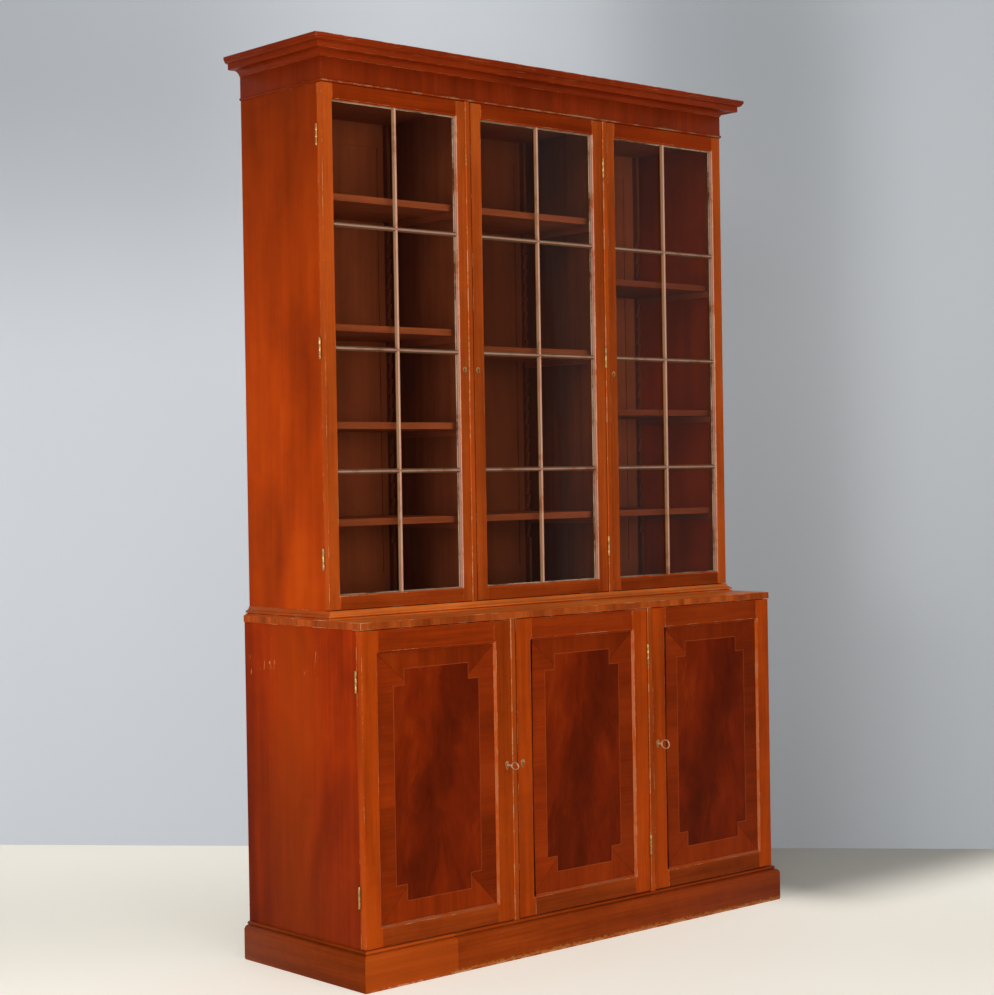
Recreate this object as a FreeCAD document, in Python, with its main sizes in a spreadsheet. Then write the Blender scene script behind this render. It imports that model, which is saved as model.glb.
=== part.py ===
"""A three-door mahogany bookcase on a cupboard base, made in two stages.

Frame: X runs to the right as one faces the doors, Y runs to the back, Z runs up from the floor.
The origin is on the floor, under the middle of the whole piece with its keys in place.
Depths are given as distances forward of the back plane, so Y = back_y - depth.
"""
import FreeCAD, Part
import math
import os
import re
import Sketcher

doc = FreeCAD.newDocument("Bookcase")
sheet = doc.addObject("Spreadsheet::Sheet", "Sizes")

# ---------------------------------------------------------------------------------------------
# Driving dimensions, in millimetres
# ---------------------------------------------------------------------------------------------

SIZES = (
    ("total_height", 2400, "floor to the top of the cornice"),
    ("back_y", 276, "origin to the back plane"),
    ("board", 18, "thickness of carcase boards"),
    ("back_thick", 14, "thickness of the framed backs"),
    ("back_panel", 7, "thickness of the panels in the backs"),
    ("back_stile", 50, "outer stiles of the backs"),
    ("back_muntin", 80, "inner stiles of the backs, behind the partitions"),
    ("partition_x", 260, "middle of the case to the middle of a partition"),
    ("partition_thick", 18, "thickness of partitions and of their facings"),
    ("facing_round", 3, "rounding of the facings' front edges"),
    # lower stage
    ("plinth_height", 101, "floor to the top of the plinth"),
    ("plinth_out", 18, "plinth beyond the base"),
    ("plinth_back", 6, "front plinth board behind the door faces"),
    ("lower_half_width", 767, "half the width of the base"),
    ("lower_side_depth", 485.4, "back plane to the front edge of the base sides"),
    ("lower_door_back", 486, "back plane to the back of the lower doors"),
    ("lower_door_thick", 20, "thickness of the lower doors"),
    ("lower_facing_front", 508.5, "back plane to the front of the lower facings"),
    ("lower_door_foot", 103, "floor to the foot of the lower doors"),
    ("lower_door_head", 898, "floor to the head of the lower doors"),
    ("worktop_z", 900, "floor to the underside of the board between the stages"),
    ("worktop_thick", 19, "thickness of that board"),
    ("worktop_out", 3, "that board beyond the base sides"),
    ("worktop_depth", 508, "depth of that board"),
    ("lower_shelf_z", 502, "floor to the top of the lower shelves"),
    ("lower_shelf_front", 440, "back plane to the front of the lower shelves"),
    # upper stage
    ("upper_half_width", 750, "half the width of the upper case"),
    ("upper_side_depth", 337.4, "back plane to the front edge of the upper sides"),
    ("upper_door_back", 338, "back plane to the back of the upper doors"),
    ("upper_door_thick", 18, "thickness of the upper doors"),
    ("upper_facing_front", 358.5, "back plane to the front of the upper facings"),
    ("upper_door_foot", 943, "floor to the foot of the upper doors"),
    ("upper_door_head", 2288, "floor to the head of the upper doors"),
    ("case_floor_thick", 22, "thickness of the upper bottom board"),
    ("case_roof_z", 2271, "floor to the underside of the upper top board"),
    ("frieze_z", 2289, "floor to the foot of the frieze"),
    ("frieze_thick", 22, "thickness of the frieze boards"),
    ("cornice_z", 2353, "floor to the foot of the cornice"),
    ("cornice_out", 53, "cornice beyond the upper case"),
    ("cornice_in", 20, "cornice behind the faces of the upper case"),
    # shelves
    ("shelf_thick", 17.5, "thickness of the shelves"),
    ("shelf_front", 319, "back plane to the front of the upper shelves"),
    ("shelf_play", 1, "gap at each end of a shelf"),
    ("shelf_low_z", 1173, "floor to the top of the lowest adjustable shelf"),
    ("rack_pitch", 42, "distance between shelf positions"),
    ("rack_wide", 18, "width of a rack"),
    ("rack_thick", 10, "thickness of a rack"),
    ("notch_deep", 9, "depth of a notch"),
    ("notch_count", 22, "notches in a rack"),
    ("notch_below", 1, "notches below the lowest shelf"),
    ("cleat_high", 18, "height of a cleat"),
    # doors
    ("outer_door_edge", 270, "middle of the case to the closing edge of an outer door"),
    ("middle_door_half", 248.5, "half the width of a middle door"),
    ("upper_hinge_stile", 36, "hinge stile of the upper outer doors"),
    ("upper_lock_stile", 30, "lock stile of the upper outer doors"),
    ("upper_middle_stile", 38, "stiles of the upper middle door"),
    ("upper_head_rail", 42, "top rails of the upper doors"),
    ("upper_foot_rail", 37, "bottom rails of the upper doors"),
    ("upper_rebate_wide", 6, "width of the glazing rebate"),
    ("upper_rebate_deep", 6, "depth of the glazing rebate"),
    ("upper_bevel", 3, "bevel round the glass opening"),
    ("lower_hinge_stile", 53.5, "hinge stile of the lower outer doors"),
    ("lower_lock_stile", 55.5, "lock stile of the lower outer doors"),
    ("lower_middle_stile", 57.5, "stiles of the lower middle door"),
    ("lower_head_rail", 60, "top rails of the lower doors"),
    ("lower_foot_rail", 52, "bottom rails of the lower doors"),
    ("lower_rebate_wide", 7, "width of the panel rebate"),
    ("lower_rebate_deep", 13.5, "depth of the panel rebate"),
    ("lower_bevel", 6, "bevel round the panel"),
    ("panel_thick", 9, "thickness of the door panels"),
    ("glass_thick", 2.5, "thickness of the glass"),
    ("glass_play", 1, "gap between a pane and the side of its rebate"),
    ("bar_wide", 12, "width of a glazing bar"),
    ("bar_nose", 5, "width of a glazing bar at its front"),
    ("bar_deep", 9, "glazing bar in front of the glass"),
    ("bar_tongue", 4, "width of the tongue between the panes"),
    ("bar_hollow", 1, "depth of the hollow in each side of a bar's nose"),
    ("bar_low_z", 1296.5, "floor to the lowest glazing bar"),
    ("bar_step", 316.5, "distance between the glazing bars"),
    # hinges
    ("upper_hinge_low", 1073, "floor to the middle of the lowest upper hinge"),
    ("upper_hinge_mid", 1612, "floor to the middle of the middle upper hinge"),
    ("upper_hinge_top", 2155, "floor to the middle of the highest upper hinge"),
    ("lower_hinge_low", 232, "floor to the middle of the low lower hinge"),
    ("lower_hinge_top", 771, "floor to the middle of the high lower hinge"),
    ("hinge_long", 55, "length of a hinge"),
    ("knuckle_flat", 3.1, "axis to the flats of a hinge knuckle"),
    ("pin_flat", 1.65, "axis to the flats of a hinge pin"),
    ("pin_play", 0.19, "gap between the flats in the door's leaf"),
    ("leaf_reach", 19.5, "pin to the far edge of a leaf"),
    ("leaf_start", 3.7, "pin to the near edge of a leaf's plate"),
    ("leaf_thick", 1.1, "thickness of a leaf"),
    ("leaf_gap", 0.15, "half the gap between closed leaves"),
    ("knuckle_gap", 0.3, "gap between knuckles"),
    ("outer_pin_out", 3.5, "outer pins beyond the side of the case"),
    ("middle_pin_x", 249.75, "middle of the case to the pins of the middle doors"),
    ("middle_pin_out", 3, "pins of the middle doors in front of the door faces"),
    # locks and keys
    ("upper_lock_z", 1566, "floor to the keyholes of the upper doors"),
    ("lower_lock_z", 515, "floor to the keyholes of the lower doors"),
    ("upper_backset", 13, "closing edge to the keyholes of the upper doors"),
    ("lower_backset", 17, "closing edge to the keyholes of the lower doors"),
    ("upper_case_wide", 22, "width of an upper lock"),
    ("lower_case_wide", 38, "width of a lower lock"),
    ("lock_deep", 9.5, "depth of a lock"),
    ("lock_wall", 1.2, "thickness of a lock's plates"),
    ("lock_below", 13.5, "lock below its keyhole"),
    ("lock_above", 18.5, "lock above its keyhole"),
    ("selvedge_spare", 6, "edge plate beyond the lock, up and down"),
    ("selvedge_thick", 1.6, "thickness of the edge plate"),
    ("bolt_low", 6.5, "keyhole to the underside of the bolt"),
    ("bolt_high", 8.5, "height of the bolt"),
    ("bolt_thick", 3.6, "thickness of the bolt"),
    ("bolt_long_spare", 3.5, "lock's width beyond the bolt"),
    ("bolt_play", 0.4, "gap round the bolt"),
    ("bolt_throw", 8, "travel of the bolt"),
    ("talon_deep", 2.4, "depth of the bolt's talon"),
    ("talon_wide", 8.5, "width of the bolt's talon"),
    ("escutcheon_thick", 1.2, "thickness of an escutcheon"),
    ("upper_escutcheon_wide", 14, "width of an upper escutcheon"),
    ("upper_escutcheon_high", 20, "height of an upper escutcheon"),
    ("lower_escutcheon_wide", 15, "width of a lower escutcheon"),
    ("lower_escutcheon_high", 24, "height of a lower escutcheon"),
    ("plate_hole", 2.5, "axis to the flats of the keyhole in the metal"),
    ("plate_slot", 2.4, "width of its slot"),
    ("wood_hole", 2.8, "axis to the flats of the keyhole in the stile"),
    ("wood_slot", 3.2, "width of its slot"),
    ("slot_down", 9.2, "keyhole's centre to the foot of its slot"),
    ("shank_flat", 2.2, "axis to the flats of a key's shank"),
    ("bit_reach", 8.5, "key's axis to the tip of its bit"),
    ("bit_thick", 1.8, "thickness of a key's bit"),
    ("bit_long", 4.2, "length of a key's bit"),
    ("collar_flat", 3.5, "axis to the flats of a key's collar"),
    ("collar_long", 2.2, "length of a key's collar"),
    ("bow_bar", 4, "width of the metal round a key's bow"),
    ("bow_thick", 3.4, "thickness of a key's bow"),
    ("key_depth", 552, "back plane to the end of the keys"),
    ("left_bow_long", 29, "length of the left key's bow"),
    ("left_bow_high", 20, "height of the left key's bow"),
    ("right_bow_long", 33, "length of the right key's bow"),
    ("right_bow_high", 27, "height of the right key's bow"),
)

for row, (alias, number, note) in enumerate(SIZES, start=1):
    sheet.set(f"A{row}", alias)
    sheet.set(f"B{row}", str(number))
    sheet.set(f"C{row}", note)
    sheet.setAlias(f"B{row}", alias)
doc.recompute()

SHELF_STEPS = {"left": (0, 6, 12, 20), "middle": (0, 11, 20), "right": (0, 7, 16)}
HINGES = {
    "upper": ("upper_hinge_low", "upper_hinge_mid", "upper_hinge_top"),
    "lower": ("lower_hinge_low", "lower_hinge_top"),
}

# ---------------------------------------------------------------------------------------------
# Helpers: every length is an expression in the words of the sheet
# ---------------------------------------------------------------------------------------------


def cells(text):
    """Turn the words of an expression into references to the sheet's cells."""
    return re.sub(r"[a-z][a-z_]*", lambda word: "Sizes." + word.group(0), str(text))


def value(text):
    """Work an expression out in millimetres."""
    return float(sheet.evalExpression(cells(text)))


def bind(item, prop, text):
    """Tie a property to an expression in the sheet's words."""
    item.setExpression(prop, cells(text))


def place(item, x="0", y="0", z="0", turn=None):
    """Put an object down at x, y, z, turned first by a rotation."""
    item.Placement = FreeCAD.Placement(FreeCAD.Vector(), turn or FreeCAD.Rotation())
    for axis, text in zip("xyz", (x, y, z)):
        bind(item, f"Placement.Base.{axis}", text)
    return item


def board(name, x, d, z):
    """A square-edged board between two x, two depths d from the back plane and two heights z."""
    item = doc.addObject("Part::Box", name)
    bind(item, "Length", f"({x[1]}) - ({x[0]})")
    bind(item, "Width", f"({d[1]}) - ({d[0]})")
    bind(item, "Height", f"({z[1]}) - ({z[0]})")
    return place(item, x[0], f"back_y - ({d[1]})", z[0])


def sided(side, near, far):
    """The two x of something from near to far of the middle, on the left (-1) or right (1)."""
    if side < 0:
        return (f"-({far})", f"-({near})")
    return (near, far)


FLATS = 8
CORNER = round(1 / math.cos(math.pi / FLATS), 6)


def flat_bar(name, x, y, z, flat, length, turn=None):
    """A small bar or hole with eight flats, measured from its axis to the flats."""
    item = doc.addObject("Part::Prism", name)
    item.Polygon = FLATS
    bind(item, "Circumradius", f"({flat}) * {CORNER}")
    bind(item, "Height", length)
    return place(item, x, y, z, turn)


def fuse(name, items):
    """Several solids made into one."""
    if len(items) == 1:
        return items[0]
    item = doc.addObject("Part::MultiFuse", name)
    item.Shapes = items
    item.Refine = True
    return item


def cut(name, base, tools):
    """A solid with the tools taken out of it."""
    item = doc.addObject("Part::Cut", name)
    item.Base = base
    item.Tool = fuse(name + "_tools", tools)
    return item


def common(name, first, second):
    """The part that two solids share."""
    item = doc.addObject("Part::Common", name)
    item.Base = first
    item.Tool = second
    return item


nodes = []


def node(name, items):
    """Close a sub-part: one labelled object that holds its solids."""
    item = items[0]
    if len(items) > 1:
        item = doc.addObject("Part::Compound", name)
        item.Links = items
    item.Label = name
    nodes.append(item)
    return item


def origin_plane(body, role):
    """One of a body's own three planes."""
    return next(item for item in body.Origin.OriginFeatures if item.Role == role)


def arc_between(start, end, radius, bulge):
    """An arc of a given radius, bulging to the left (1) or right (-1) of the way to its end."""
    chord = end - start
    half = chord.Length / 2
    side = FreeCAD.Vector(-chord.y, chord.x, 0).normalize() * bulge
    rise = radius - math.sqrt(radius * radius - half * half)
    return Part.Arc(start, (start + end) / 2 + side * rise, end)


def outline(body, name, role, corners, arcs=None, offset="0"):
    """A closed sketch on an origin plane, with every corner and radius tied to the sheet."""
    arcs = arcs or {}
    item = body.newObject("Sketcher::SketchObject", name)
    item.AttachmentSupport = (origin_plane(body, role), "")
    item.MapMode = "FlatFace"
    bind(item, "AttachmentOffset.Base.z", offset)
    spots = [FreeCAD.Vector(value(u), value(v), 0) for u, v in corners]
    starts = []
    for index, here in enumerate(spots):
        there = spots[(index + 1) % len(spots)]
        if index in arcs:
            radius, bulge = arcs[index]
            item.addGeometry(arc_between(here, there, value(radius), bulge))
        else:
            item.addGeometry(Part.LineSegment(here, there))
        starts.append(1 if item.getPoint(index, 1).distanceToPoint(here) < 1e-6 else 2)
    for index, (u, v) in enumerate(corners):
        following = (index + 1) % len(corners)
        item.addConstraint(Sketcher.Constraint(
            "Coincident", index, 3 - starts[index], following, starts[following]))
        for kind, text in (("DistanceX", u), ("DistanceY", v)):
            rule = item.addConstraint(Sketcher.Constraint(
                kind, -1, 1, index, starts[index], value(text)))
            bind(item, f"Constraints[{rule}]", text)
    for index, (radius, _) in arcs.items():
        rule = item.addConstraint(Sketcher.Constraint("Radius", index, value(radius)))
        bind(item, f"Constraints[{rule}]", radius)
    return item


def prism(name, role, corners, length, arcs=None, offset="0"):
    """A body made by padding an outline along the normal of its plane."""
    body = doc.addObject("PartDesign::Body", name)
    pad = body.newObject("PartDesign::Pad", name + "_pad")
    pad.Profile = outline(body, name + "_outline", role, corners, arcs, offset)
    bind(pad, "Length", length)
    return body


def pocket(body, name, role, corners, length, offset="0"):
    """Cut an outline out of a body, along the normal of its plane, and see that it cuts."""
    doc.recompute()
    before = body.Shape.Volume
    item = body.newObject("PartDesign::Pocket", name)
    item.Profile = outline(body, name + "_outline", role, corners, None, offset)
    item.Reversed = True
    bind(item, "Length", length)
    doc.recompute()
    if body.Shape.Volume >= before - 1e-3:
        raise RuntimeError(name + " cuts nothing")
    return item


# ---------------------------------------------------------------------------------------------
# Mitred mouldings: one section runs along the front and both sides
# ---------------------------------------------------------------------------------------------


def mirrored(arcs):
    """The same arcs in an outline seen from the other side."""
    return {index: (radius, -bulge) for index, (radius, bulge) in arcs.items()}


def moulding(name, half_width, depth, out, section, arcs, front_section=None):
    """Three mitred lengths round a case; section corners are (out of the face, height)."""
    front_section = front_section or section
    corner_x = f"({half_width}) + ({out})"
    corner_d = f"({depth}) + ({out})"
    front = prism(name + "_front", "YZ_Plane",
                  [(f"back_y - ({depth}) - ({p})", z) for p, z in front_section],
                  f"2 * ({corner_x})", mirrored(arcs), f"-({corner_x})")
    pieces = [front]
    # the mitre plane runs at 45 degrees from the outer corner to the back of the section
    reach = f"({out}) + frieze_thick + board"
    near_y = f"back_y - ({corner_d})"
    for side, word in ((-1, "left"), (1, "right")):
        sign = "-" if side < 0 else ""
        pocket(front, f"{name}_front_mitre_{word}", "XY_Plane",
               [(f"{sign}({corner_x} + 1)", f"{near_y} - 1"),
                (f"{sign}({corner_x} + 1)", f"{near_y} + {reach}"),
                (f"{sign}({corner_x} - ({reach}))", f"{near_y} + {reach}")],
               "total_height + 1")
        piece = prism(f"{name}_{word}", "XZ_Plane",
                      [(f"{sign}(({half_width}) + ({p}))", z) for p, z in section],
                      corner_d, mirrored(arcs) if side < 0 else arcs, "-back_y")
        pocket(piece, f"{name}_mitre_{word}", "XY_Plane",
               [(f"{sign}({corner_x} + 1)", f"{near_y} - 1"),
                (f"{sign}({corner_x} - ({reach}))", f"{near_y} - 1"),
                (f"{sign}({corner_x} - ({reach}))", f"{near_y} + {reach}")],
               "total_height + 1")
        pieces.append(piece)
    return pieces


def plinth_section(inner):
    """Bead and thumb moulding over a plain face; inner is the back of the board."""
    return [(inner, "0"), ("plinth_out", "0"), ("plinth_out", "plinth_height - 22"),
            ("6.5", "plinth_height - 9"), ("4.5", "plinth_height - 9"),
            ("3.5", "plinth_height"), (inner, "plinth_height")]


PLINTH_ARCS = {2: ("13", -1), 4: ("4.7", -1)}

WAIST_FOOT = "worktop_z + worktop_thick"
WAIST_SECTION = [("0", WAIST_FOOT), ("13", WAIST_FOOT), ("13", f"{WAIST_FOOT} + 3"),
                 ("7", f"{WAIST_FOOT} + 3.6"), ("7", f"{WAIST_FOOT} + 5.2"),
                 ("13", f"{WAIST_FOOT} + 6.2"), ("12.6", f"{WAIST_FOOT} + 10.5"),
                 ("1.5", f"{WAIST_FOOT} + case_floor_thick"),
                 ("0", f"{WAIST_FOOT} + case_floor_thick")]
WAIST_ARCS = {6: ("14", 1)}


FRIEZE_SECTION = [("-frieze_thick", "frieze_z"), ("1", "frieze_z"), ("1", "frieze_z + 8"),
                  ("1", "cornice_z"), ("-frieze_thick", "cornice_z")]
FRIEZE_ARCS = {1: ("4.05", -1)}

CORNICE_SECTION = [("-cornice_in", "cornice_z"), ("2", "cornice_z"),
                   ("26", "cornice_z + 13.5"), ("39.5", "cornice_z + 13.5"),
                   ("39.5", "cornice_z + 29"), ("42", "cornice_z + 29"),
                   ("cornice_out - 2", "cornice_z + 38"), ("cornice_out", "cornice_z + 38"),
                   ("cornice_out", "total_height - 2"), ("cornice_out - 2", "total_height"),
                   ("-cornice_in", "total_height")]
CORNICE_ARCS = {1: ("20", 1), 5: ("9.2", -1), 8: ("2", -1)}

# ---------------------------------------------------------------------------------------------
# Carcases
# ---------------------------------------------------------------------------------------------

FLOOR_TOP = {"upper": f"{WAIST_FOOT} + case_floor_thick", "lower": "plinth_height"}
HEAD = {"upper": "case_roof_z", "lower": "worktop_z"}
FACING_HEAD = {"upper": "frieze_z", "lower": "worktop_z"}
INNER_HALF = {"upper": "upper_half_width - board", "lower": "lower_half_width - board"}
OUTER_PIN = {stage: f"{stage}_half_width + outer_pin_out" for stage in HINGES}
OUTER_PIN_D = {stage: f"{stage}_side_depth + 0.3" for stage in HINGES}
MIDDLE_PIN_D = {stage: f"{stage}_door_back + {stage}_door_thick + middle_pin_out"
                for stage in HINGES}


def hinge_span(height):
    """The two heights of a hinge."""
    return (f"{height} - hinge_long / 2", f"{height} + hinge_long / 2")


def leaf_gains(stage, side, depths, tag):
    """Shallow recesses for the leaves of the outer hinges, between two depths."""
    tools = []
    for height in HINGES[stage]:
        across = sided(side, f"{OUTER_PIN[stage]} - leaf_reach", f"{stage}_half_width + 1")
        tools.append(board(f"{tag}_{height}", across, depths, hinge_span(height)))
    return tools


def knuckle_hollows(stage, tag):
    """Hollows that let the middle door's knuckles in between door and facing."""
    tools = []
    for height in HINGES[stage]:
        tools.append(flat_bar(f"{tag}_{height}", "middle_pin_x", f"back_y - ({MIDDLE_PIN_D[stage]})",
                              f"{height} - hinge_long / 2 - 0.3", "knuckle_flat + 0.5",
                              "hinge_long + 0.6"))
    return tools


def case_side(stage, side, word, heights, foot_front=None):
    """A side of a case, recessed at its front edge for the hinge leaves."""
    name = f"{stage}_side_{word}"
    across = sided(side, INNER_HALF[stage], f"{stage}_half_width")
    blank = board(name + "_board", across, ("0", f"{stage}_side_depth"), heights)
    if foot_front:
        step = board(name + "_foot", across, (f"{stage}_side_depth", foot_front),
                     (heights[0], "plinth_height"))
        blank = fuse(name + "_blank", [blank, step])
    gains = leaf_gains(stage, side, (f"{stage}_side_depth - leaf_thick + 0.15",
                                     f"{stage}_side_depth + 1"), name + "_gain")
    node(name, [cut(name, blank, gains)])


def lock_spot(stage, place_word):
    """Closing edge, its direction along X and the keyhole's x of a door."""
    if place_word == "left":
        return ("-outer_door_edge", 1)
    if place_word == "middle":
        return ("-middle_door_half", -1)
    return ("outer_door_edge", -1)


def beside(edge, way, near, far):
    """The two x from near to far inside a closing edge, where way points out of the door."""
    if way > 0:
        return (f"{edge} - ({far})", f"{edge} - ({near})")
    return (f"{edge} + ({near})", f"{edge} + ({far})")


def bolt_depths(stage, play="0"):
    """The two depths of a bolt, with play on both sides."""
    back = f"{stage}_door_back + 2 * lock_wall + 1.2"
    return (f"{back} - {play}", f"{back} + bolt_thick + {play}")


def bolt_heights(stage, play="0"):
    """The two heights of a bolt, with play above and below."""
    foot = f"{stage}_lock_z + bolt_low"
    return (f"{foot} - {play}", f"{foot} + bolt_high + {play}")


def bolt_mortise(stage, place_word):
    """The hole that takes a thrown bolt, in the facing beside the door's closing edge."""
    edge, way = lock_spot(stage, place_word)
    return board(f"{stage}_mortise_{place_word}", beside(edge, way, "-bolt_throw - 0.6", "0"),
                 bolt_depths(stage, "bolt_play"), bolt_heights(stage, "bolt_play"))


def partition(stage, side, word):
    """A partition and the facing on its front edge."""
    name = f"{stage}_partition_{word}"
    middle = "-partition_x" if side < 0 else "partition_x"
    across = (f"{middle} - partition_thick / 2", f"{middle} + partition_thick / 2")
    panel = board(name + "_board", across, ("back_thick", f"{stage}_side_depth"),
                  (FLOOR_TOP[stage], HEAD[stage]))
    back_y = f"back_y - {stage}_side_depth"
    front_y = f"back_y - {stage}_facing_front"
    facing = prism(name + "_facing", "XY_Plane",
                   [(across[0], back_y), (across[0], f"{front_y} + facing_round"),
                    (f"{across[0]} + facing_round", front_y),
                    (f"{across[1]} - facing_round", front_y),
                    (across[1], f"{front_y} + facing_round"), (across[1], back_y)],
                   f"{FACING_HEAD[stage]} - ({FLOOR_TOP[stage]})",
                   {1: ("facing_round", -1), 3: ("facing_round", -1)}, FLOOR_TOP[stage])
    tools = [bolt_mortise(stage, "left"), bolt_mortise(stage, "middle")]
    if side > 0:
        tools = [bolt_mortise(stage, "right")] + knuckle_hollows(stage, name + "_hollow")
    node(name, [panel, cut(name + "_strip", facing, tools)])


def framed_back(stage, foot, head, foot_rail, head_rail):
    """A back of two rails, four stiles and three panels."""
    name = f"{stage}_back"
    half = INNER_HALF[stage]
    inner_z = (f"{foot} + {foot_rail}", f"{head} - {head_rail}")
    depths = ("0", "back_thick")
    panel_depths = ("(back_thick - back_panel) / 2", "(back_thick + back_panel) / 2")
    pieces = [board(name + "_foot_rail", (f"-({half})", half), depths, (foot, inner_z[0])),
              board(name + "_head_rail", (f"-({half})", half), depths, (inner_z[1], head))]
    inner, outer = "partition_x - back_muntin / 2", "partition_x + back_muntin / 2"
    for side, word in ((-1, "left"), (1, "right")):
        pieces.append(board(f"{name}_stile_{word}", sided(side, f"{half} - back_stile", half),
                            depths, inner_z))
        pieces.append(board(f"{name}_muntin_{word}", sided(side, inner, outer), depths, inner_z))
        pieces.append(board(f"{name}_panel_{word}", sided(side, outer, f"{half} - back_stile"),
                            panel_depths, inner_z))
    pieces.append(board(name + "_panel_middle", (f"-({inner})", inner), panel_depths, inner_z))
    node(name, pieces)


def bays(stage):
    """The three bays of a stage with their two inner x."""
    near, far = "partition_x - partition_thick / 2", "partition_x + partition_thick / 2"
    return {"left": sided(-1, far, INNER_HALF[stage]), "middle": (f"-({near})", near),
            "right": sided(1, far, INNER_HALF[stage])}


def base_stage():
    """The cupboard: plinth, sides, partitions, boards, back and shelves."""
    plinth_front = "lower_door_back + lower_door_thick - plinth_back"
    for side, word in ((-1, "left"), (1, "right")):
        case_side("lower", side, word, ("0", "worktop_z"), plinth_front)
        partition("lower", side, word)
    half = INNER_HALF["lower"]
    under = "plinth_height - board"
    node("lower_bottom_board", [board("lower_bottom_board", (f"-({half})", half),
                                      ("back_thick", plinth_front), (under, "plinth_height"))])
    top_half = "lower_half_width + worktop_out"
    node("lower_top_board", [board("lower_top_board", (f"-({top_half})", top_half),
                                   ("0", "worktop_depth"), ("worktop_z", WAIST_FOOT))])
    framed_back("lower", under, "worktop_z", "70 + board", "70")
    shelves, bearers = [], []
    shelf_z = ("lower_shelf_z - shelf_thick", "lower_shelf_z")
    for word, (left, right) in bays("lower").items():
        shelves.append(board(f"lower_shelf_{word}", (f"{left} + shelf_play", f"{right} - shelf_play"),
                             ("back_thick", "lower_shelf_front"), shelf_z))
        bearer_z = (f"{shelf_z[0]} - cleat_high", shelf_z[0])
        bearer_d = ("back_thick", "lower_shelf_front - 12")
        bearers.append(board(f"bearer_{word}_a", (left, f"{left} + rack_thick"), bearer_d, bearer_z))
        bearers.append(board(f"bearer_{word}_b", (f"{right} - rack_thick", right), bearer_d, bearer_z))
    node("lower_shelves", shelves)
    node("lower_shelf_bearers", bearers)
    pieces = moulding("plinth", "lower_half_width", "lower_door_back + lower_door_thick",
                      "plinth_out", plinth_section("0"), PLINTH_ARCS, plinth_section("-plinth_back"))
    pieces.append(board("plinth_rear_rail", (f"-({half})", half), ("back_thick", "back_thick + board"),
                        ("0", under)))
    block, block_long = 34, 80
    for index in range(5):
        start = f"{(index - 2) * 300 - block_long / 2}"
        pieces.append(prism(f"plinth_block_{index + 1}", "YZ_Plane",
                            [(f"back_y - ({plinth_front})", under),
                             (f"back_y - ({plinth_front}) + {block}", under),
                             (f"back_y - ({plinth_front})", f"{under} - {block}")],
                            f"{block_long}", None, start))
    node("plinth", pieces)


def upper_stage():
    """The glazed case: sides, partitions, boards, back, frieze, cornice and waist moulding."""
    for side, word in ((-1, "left"), (1, "right")):
        case_side("upper", side, word, (FLOOR_TOP["upper"], "frieze_z"))
        partition("upper", side, word)
    half = INNER_HALF["upper"]
    face = "upper_door_back + upper_door_thick"
    node("upper_bottom_board", [board("upper_bottom_board", ("-upper_half_width", "upper_half_width"),
                                      ("0", face), (WAIST_FOOT, FLOOR_TOP["upper"]))])
    node("upper_top_board", [board("upper_top_board", (f"-({half})", half),
                                   ("back_thick", "upper_side_depth"), ("case_roof_z", "frieze_z"))])
    framed_back("upper", FLOOR_TOP["upper"], "frieze_z", "70", "84")
    pieces = moulding("frieze", "upper_half_width", face, "6", FRIEZE_SECTION, FRIEZE_ARCS)
    pieces.append(board("frieze_back_rail",
                        ("frieze_thick - upper_half_width", "upper_half_width - frieze_thick"),
                        ("0", "board"), ("frieze_z", "cornice_z")))
    node("frieze", pieces)
    node("cornice", moulding("cornice", "upper_half_width", face, "cornice_out",
                             CORNICE_SECTION, CORNICE_ARCS))
    node("waist_moulding", moulding("waist_moulding", "upper_half_width", face, "13",
                                    WAIST_SECTION, WAIST_ARCS))


# ---------------------------------------------------------------------------------------------
# Adjustable shelves on toothed racks
# ---------------------------------------------------------------------------------------------


def rack(name, x, d, turned):
    """An upright with a row of saw-tooth notches, seen from the side of the case."""
    body = prism(name, "YZ_Plane",
                 [("0", "0"), ("rack_wide", "0"), ("rack_wide", f"{HEAD['upper']} - ({FLOOR_TOP['upper']})"),
                  ("0", f"{HEAD['upper']} - ({FLOOR_TOP['upper']})")], "rack_thick")
    first = (f"shelf_low_z - shelf_thick - cleat_high - notch_below * rack_pitch"
             f" - ({FLOOR_TOP['upper']})")
    notch = pocket(body, name + "_notch", "YZ_Plane",
                   [("rack_wide", first), ("rack_wide", f"{first} + rack_pitch"),
                    ("rack_wide - notch_deep", first)], "rack_thick")
    row = body.newObject("PartDesign::LinearPattern", name + "_notches")
    row.Originals = [notch]
    row.Direction = (notch.Profile[0], ["V_Axis"])
    bind(row, "Length", "rack_pitch * (notch_count - 1)")
    bind(row, "Occurrences", "notch_count")
    body.Tip = row
    turn = FreeCAD.Rotation(FreeCAD.Vector(0, 0, 1), 180) if turned else None
    return place(body, x, f"back_y - ({d})", FLOOR_TOP["upper"], turn)


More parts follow.
